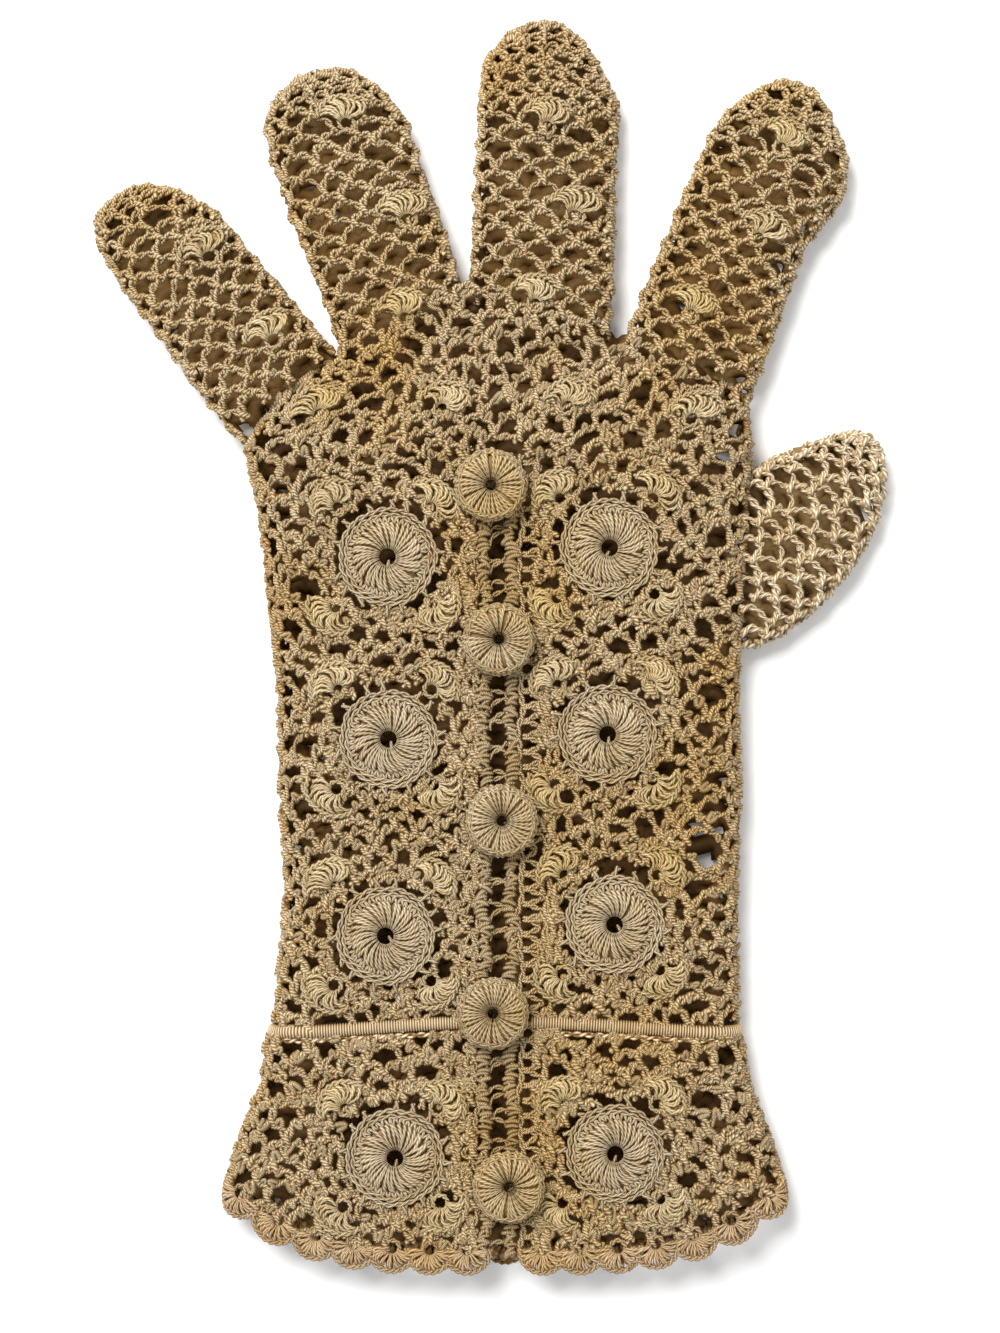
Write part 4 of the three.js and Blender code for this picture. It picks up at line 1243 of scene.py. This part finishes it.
def medallion(centre, number):
    """The turned base, the radial threads over the padded ring, and the stitches round it."""
    base = WRIST_HEIGHT + slope * (centre[1] - WRIST_Y)
    phase = chance.uniform(0, 2 * np.pi)
    parts = [lathe(RING_PROFILE, 44, centre, base)]

    def lay(*path, **shape):
        parts.append(turned_strands(centre, base, *path, **shape))

    t = np.linspace(0, 1, 9)
    angle = np.arange(RADIAL_THREADS) * 2 * np.pi / RADIAL_THREADS + phase
    angle = angle + chance.normal(0, 0.018, RADIAL_THREADS)
    waver = chance.normal(0, 0.035, (RADIAL_THREADS, 1)) * np.sin(1.5 * np.pi * t)[None]
    reach = 1.75 * mm + (6.9 - 1.75) * mm * t
    height = MEDALLION_HEIGHT * (0.1 + 0.9 * np.sin(np.pi * np.clip(0.1 + 0.82 * t, 0, 1)) ** 0.62)
    radius = 0.067 * reach * chance.uniform(0.88, 1.08, (RADIAL_THREADS, 1))
    lay(angle[:, None] + waver + SWIRL * t[None], reach[None], height[None], radius, 5, tall=1.1)
    t = np.linspace(0, 1, 5)[None]
    stub = chance.uniform(-2.2, -0.9) + 0.5 * t
    lay(stub, (2.4 - 1.7 * t) * mm, -0.7 * mm, 0.34 * mm, swell=0.22, groove=0.22)
    t = np.linspace(0, 1, 4)[None]
    start = np.arange(RADIAL_THREADS) * 2 * np.pi / RADIAL_THREADS + chance.uniform(0, 1)
    start = start + chance.normal(0, 0.02, RADIAL_THREADS)
    for side in (-1, 1):
        angle = start[:, None] + (side * (0.1 + 0.8 * t) + 0.5 * t) * np.pi / RADIAL_THREADS
        reach = (6.75 + chance.normal(0, 0.08, (RADIAL_THREADS, 1)) + 1.5 * t) * mm
        height = (0.6 + 0.35 * np.sin(np.pi * t)) * mm
        lay(angle, reach, height, np.array([[0.22, 0.31, 0.31, 0.24]]) * mm)
    angle = np.linspace(0, 2 * np.pi, 124)[None]
    wander = 0.12 * np.sin(5 * angle + number) + 0.08 * np.sin(11 * angle + 2 * number)
    for reach, rise in ((8.5, 0.6), (9.6, 0.4)):
        lay(angle, (reach + wander) * mm, rise * mm, 0.57 * mm, plied=True)
    t = np.linspace(0, 1, 5)[None]
    start = np.arange(POSTS) * 2 * np.pi / POSTS + phase + chance.normal(0, 0.08, POSTS)
    angle = start[:, None] + chance.normal(0, 0.05, (POSTS, 1)) * t
    reach = (9.9 + (1.7 + chance.normal(0, 0.25, (POSTS, 1))) * t) * mm
    lay(angle, reach, 0.3 * mm, 0.6 * mm, plied=True)
    name = "medallion_%d" % number
    piece(name + "_threads", parts, medallion_cotton, "medallion_thread", name)


for number, centre in enumerate(medallions, 1):
    medallion(centre, number)

# The buttons: a thick padded ring, domed, worked over all round with close stitches from a
# small hole in its face to its back, and sewn onto the bands.
BUTTON_THREADS = 38
CORE_PROFILE = [
    [1.5, 0.1], [1.45, 1.6], [2.0, 2.7], [3.1, 3.35], [4.3, 3.5], [5.6, 3.0], [6.6, 1.9],
    [6.75, 1.0], [6.0, 0.1],
]
THREAD_PROFILE = np.array(
    [
        [1.0, 0.9], [1.15, 2.0], [1.8, 3.0], [3.0, 3.65], [4.2, 3.85], [5.4, 3.5], [6.4, 2.7],
        [6.95, 1.7], [6.8, 0.8], [5.9, 0.35],
    ]
)
THREAD_WIDTHS = np.array([1, 1, 1, 1, 1, 1.02, 1.12, 1.25, 1.2, 1])
button_cotton = thread_material(
    "button_cotton", (0.58, 0.49, 0.333), (0.17, 0.08, 0.012), (0.59, 0.45, 0.2), 0.6, ply=0.6
)


def button(number):
    """The turned core and its threads, from the hole over the dome and under the edge, with two
    chain rounds about the edge."""
    name = "button_%d" % number
    centre, base = plan_middle(name)
    parts = [lathe(CORE_PROFILE, 40, centre, base)]
    reach, height = THREAD_PROFILE[None, :, 0] * mm, THREAD_PROFILE[None, :, 1] * mm
    t = np.linspace(0, 1, 10)[None]
    angle = np.arange(BUTTON_THREADS) * 2 * np.pi / BUTTON_THREADS + chance.uniform(0, 1)
    angle = angle + chance.normal(0, 0.02, BUTTON_THREADS)
    waver = chance.normal(0, 0.04, (BUTTON_THREADS, 1)) * np.sin(1.4 * np.pi * t)
    wobble = 1 + chance.normal(0, 0.02, (BUTTON_THREADS, 1)) * t
    angle = angle[:, None] + waver + 0.12 * t
    radius = 0.071 * reach * THREAD_WIDTHS
    parts.append(turned_strands(centre, base, angle, reach * wobble, height, radius, 5))
    around = np.linspace(0, 2 * np.pi, 100)[None]
    for reach, rise in ((6.35, 3.0), (6.95, 1.9)):
        lumpy = (reach + 0.1 * np.sin(7 * around + number) + 0.06 * np.sin(17 * around)) * mm
        parts.append(turned_strands(centre, base, around, lumpy, rise * mm, 0.46 * mm, plied=True))
    piece(name + "_threads", parts, button_cotton, "button_thread", name)


for number in range(1, 6):
    button(number)

# The table top, the light and the camera: a plain white sheet, a large soft lamp from the upper
# left, a weaker one opposite, and a camera straight above.
IMAGE_WIDTH = 208.33 * mm
LENS = 85.0
SENSOR = 36.0
VIEW_CENTRE = (-1.04 * mm, 6.98 * mm)
HALF_SHEET = 1.5


def floor():
    """A flat square under the glove."""
    mesh = bpy.data.meshes.new("floor")
    corners = [(x * HALF_SHEET, y * HALF_SHEET, 0) for x, y in ((-1, -1), (1, -1), (1, 1), (-1, 1))]
    mesh.from_pydata(corners, [], [(0, 1, 2, 3)])
    material = bpy.data.materials.new("white_paper")
    material.use_nodes = True
    shader = material.node_tree.nodes["Principled BSDF"]
    shader.inputs["Base Color"].default_value = (0.9, 0.9, 0.9, 1)
    shader.inputs["Roughness"].default_value = 0.9
    mesh.materials.append(material)
    sheet = bpy.data.objects.new("floor", mesh)
    bpy.context.scene.collection.objects.link(sheet)


def lamp(name, place, size, power, colour):
    """A square area lamp that faces the glove."""
    light = bpy.data.lights.new(name, "AREA")
    light.size = size
    light.energy = power
    light.color = colour
    lamp_object = bpy.data.objects.new(name, light)
    lamp_object.location = place
    to = -np.array(place) / np.linalg.norm(place)
    lamp_object.rotation_euler = (np.arccos(-to[2]), 0, np.arctan2(-to[0], to[1]))
    bpy.context.scene.collection.objects.link(lamp_object)


floor()
lamp("key_lamp", (-0.45, 0.65, 0.95), 0.6, 21, (1.0, 0.98, 0.95))
lamp("fill_lamp", (0.9, -0.5, 1.1), 1.2, 4, (0.96, 0.98, 1.0))
world = bpy.data.worlds.new("studio")
world.use_nodes = True
background = world.node_tree.nodes["Background"]
background.inputs["Color"].default_value = (1, 1, 1, 1)
background.inputs["Strength"].default_value = 0.58
bpy.context.scene.world = world

camera = bpy.data.cameras.new("camera")
camera.lens = LENS
camera.sensor_fit = "HORIZONTAL"
camera.sensor_width = SENSOR
camera_object = bpy.data.objects.new("camera", camera)
distance = IMAGE_WIDTH * LENS / SENSOR
camera_object.location = (*VIEW_CENTRE, distance)
bpy.context.scene.collection.objects.link(camera_object)
bpy.context.scene.camera = camera_object
bpy.context.scene.view_settings.view_transform = "Standard"
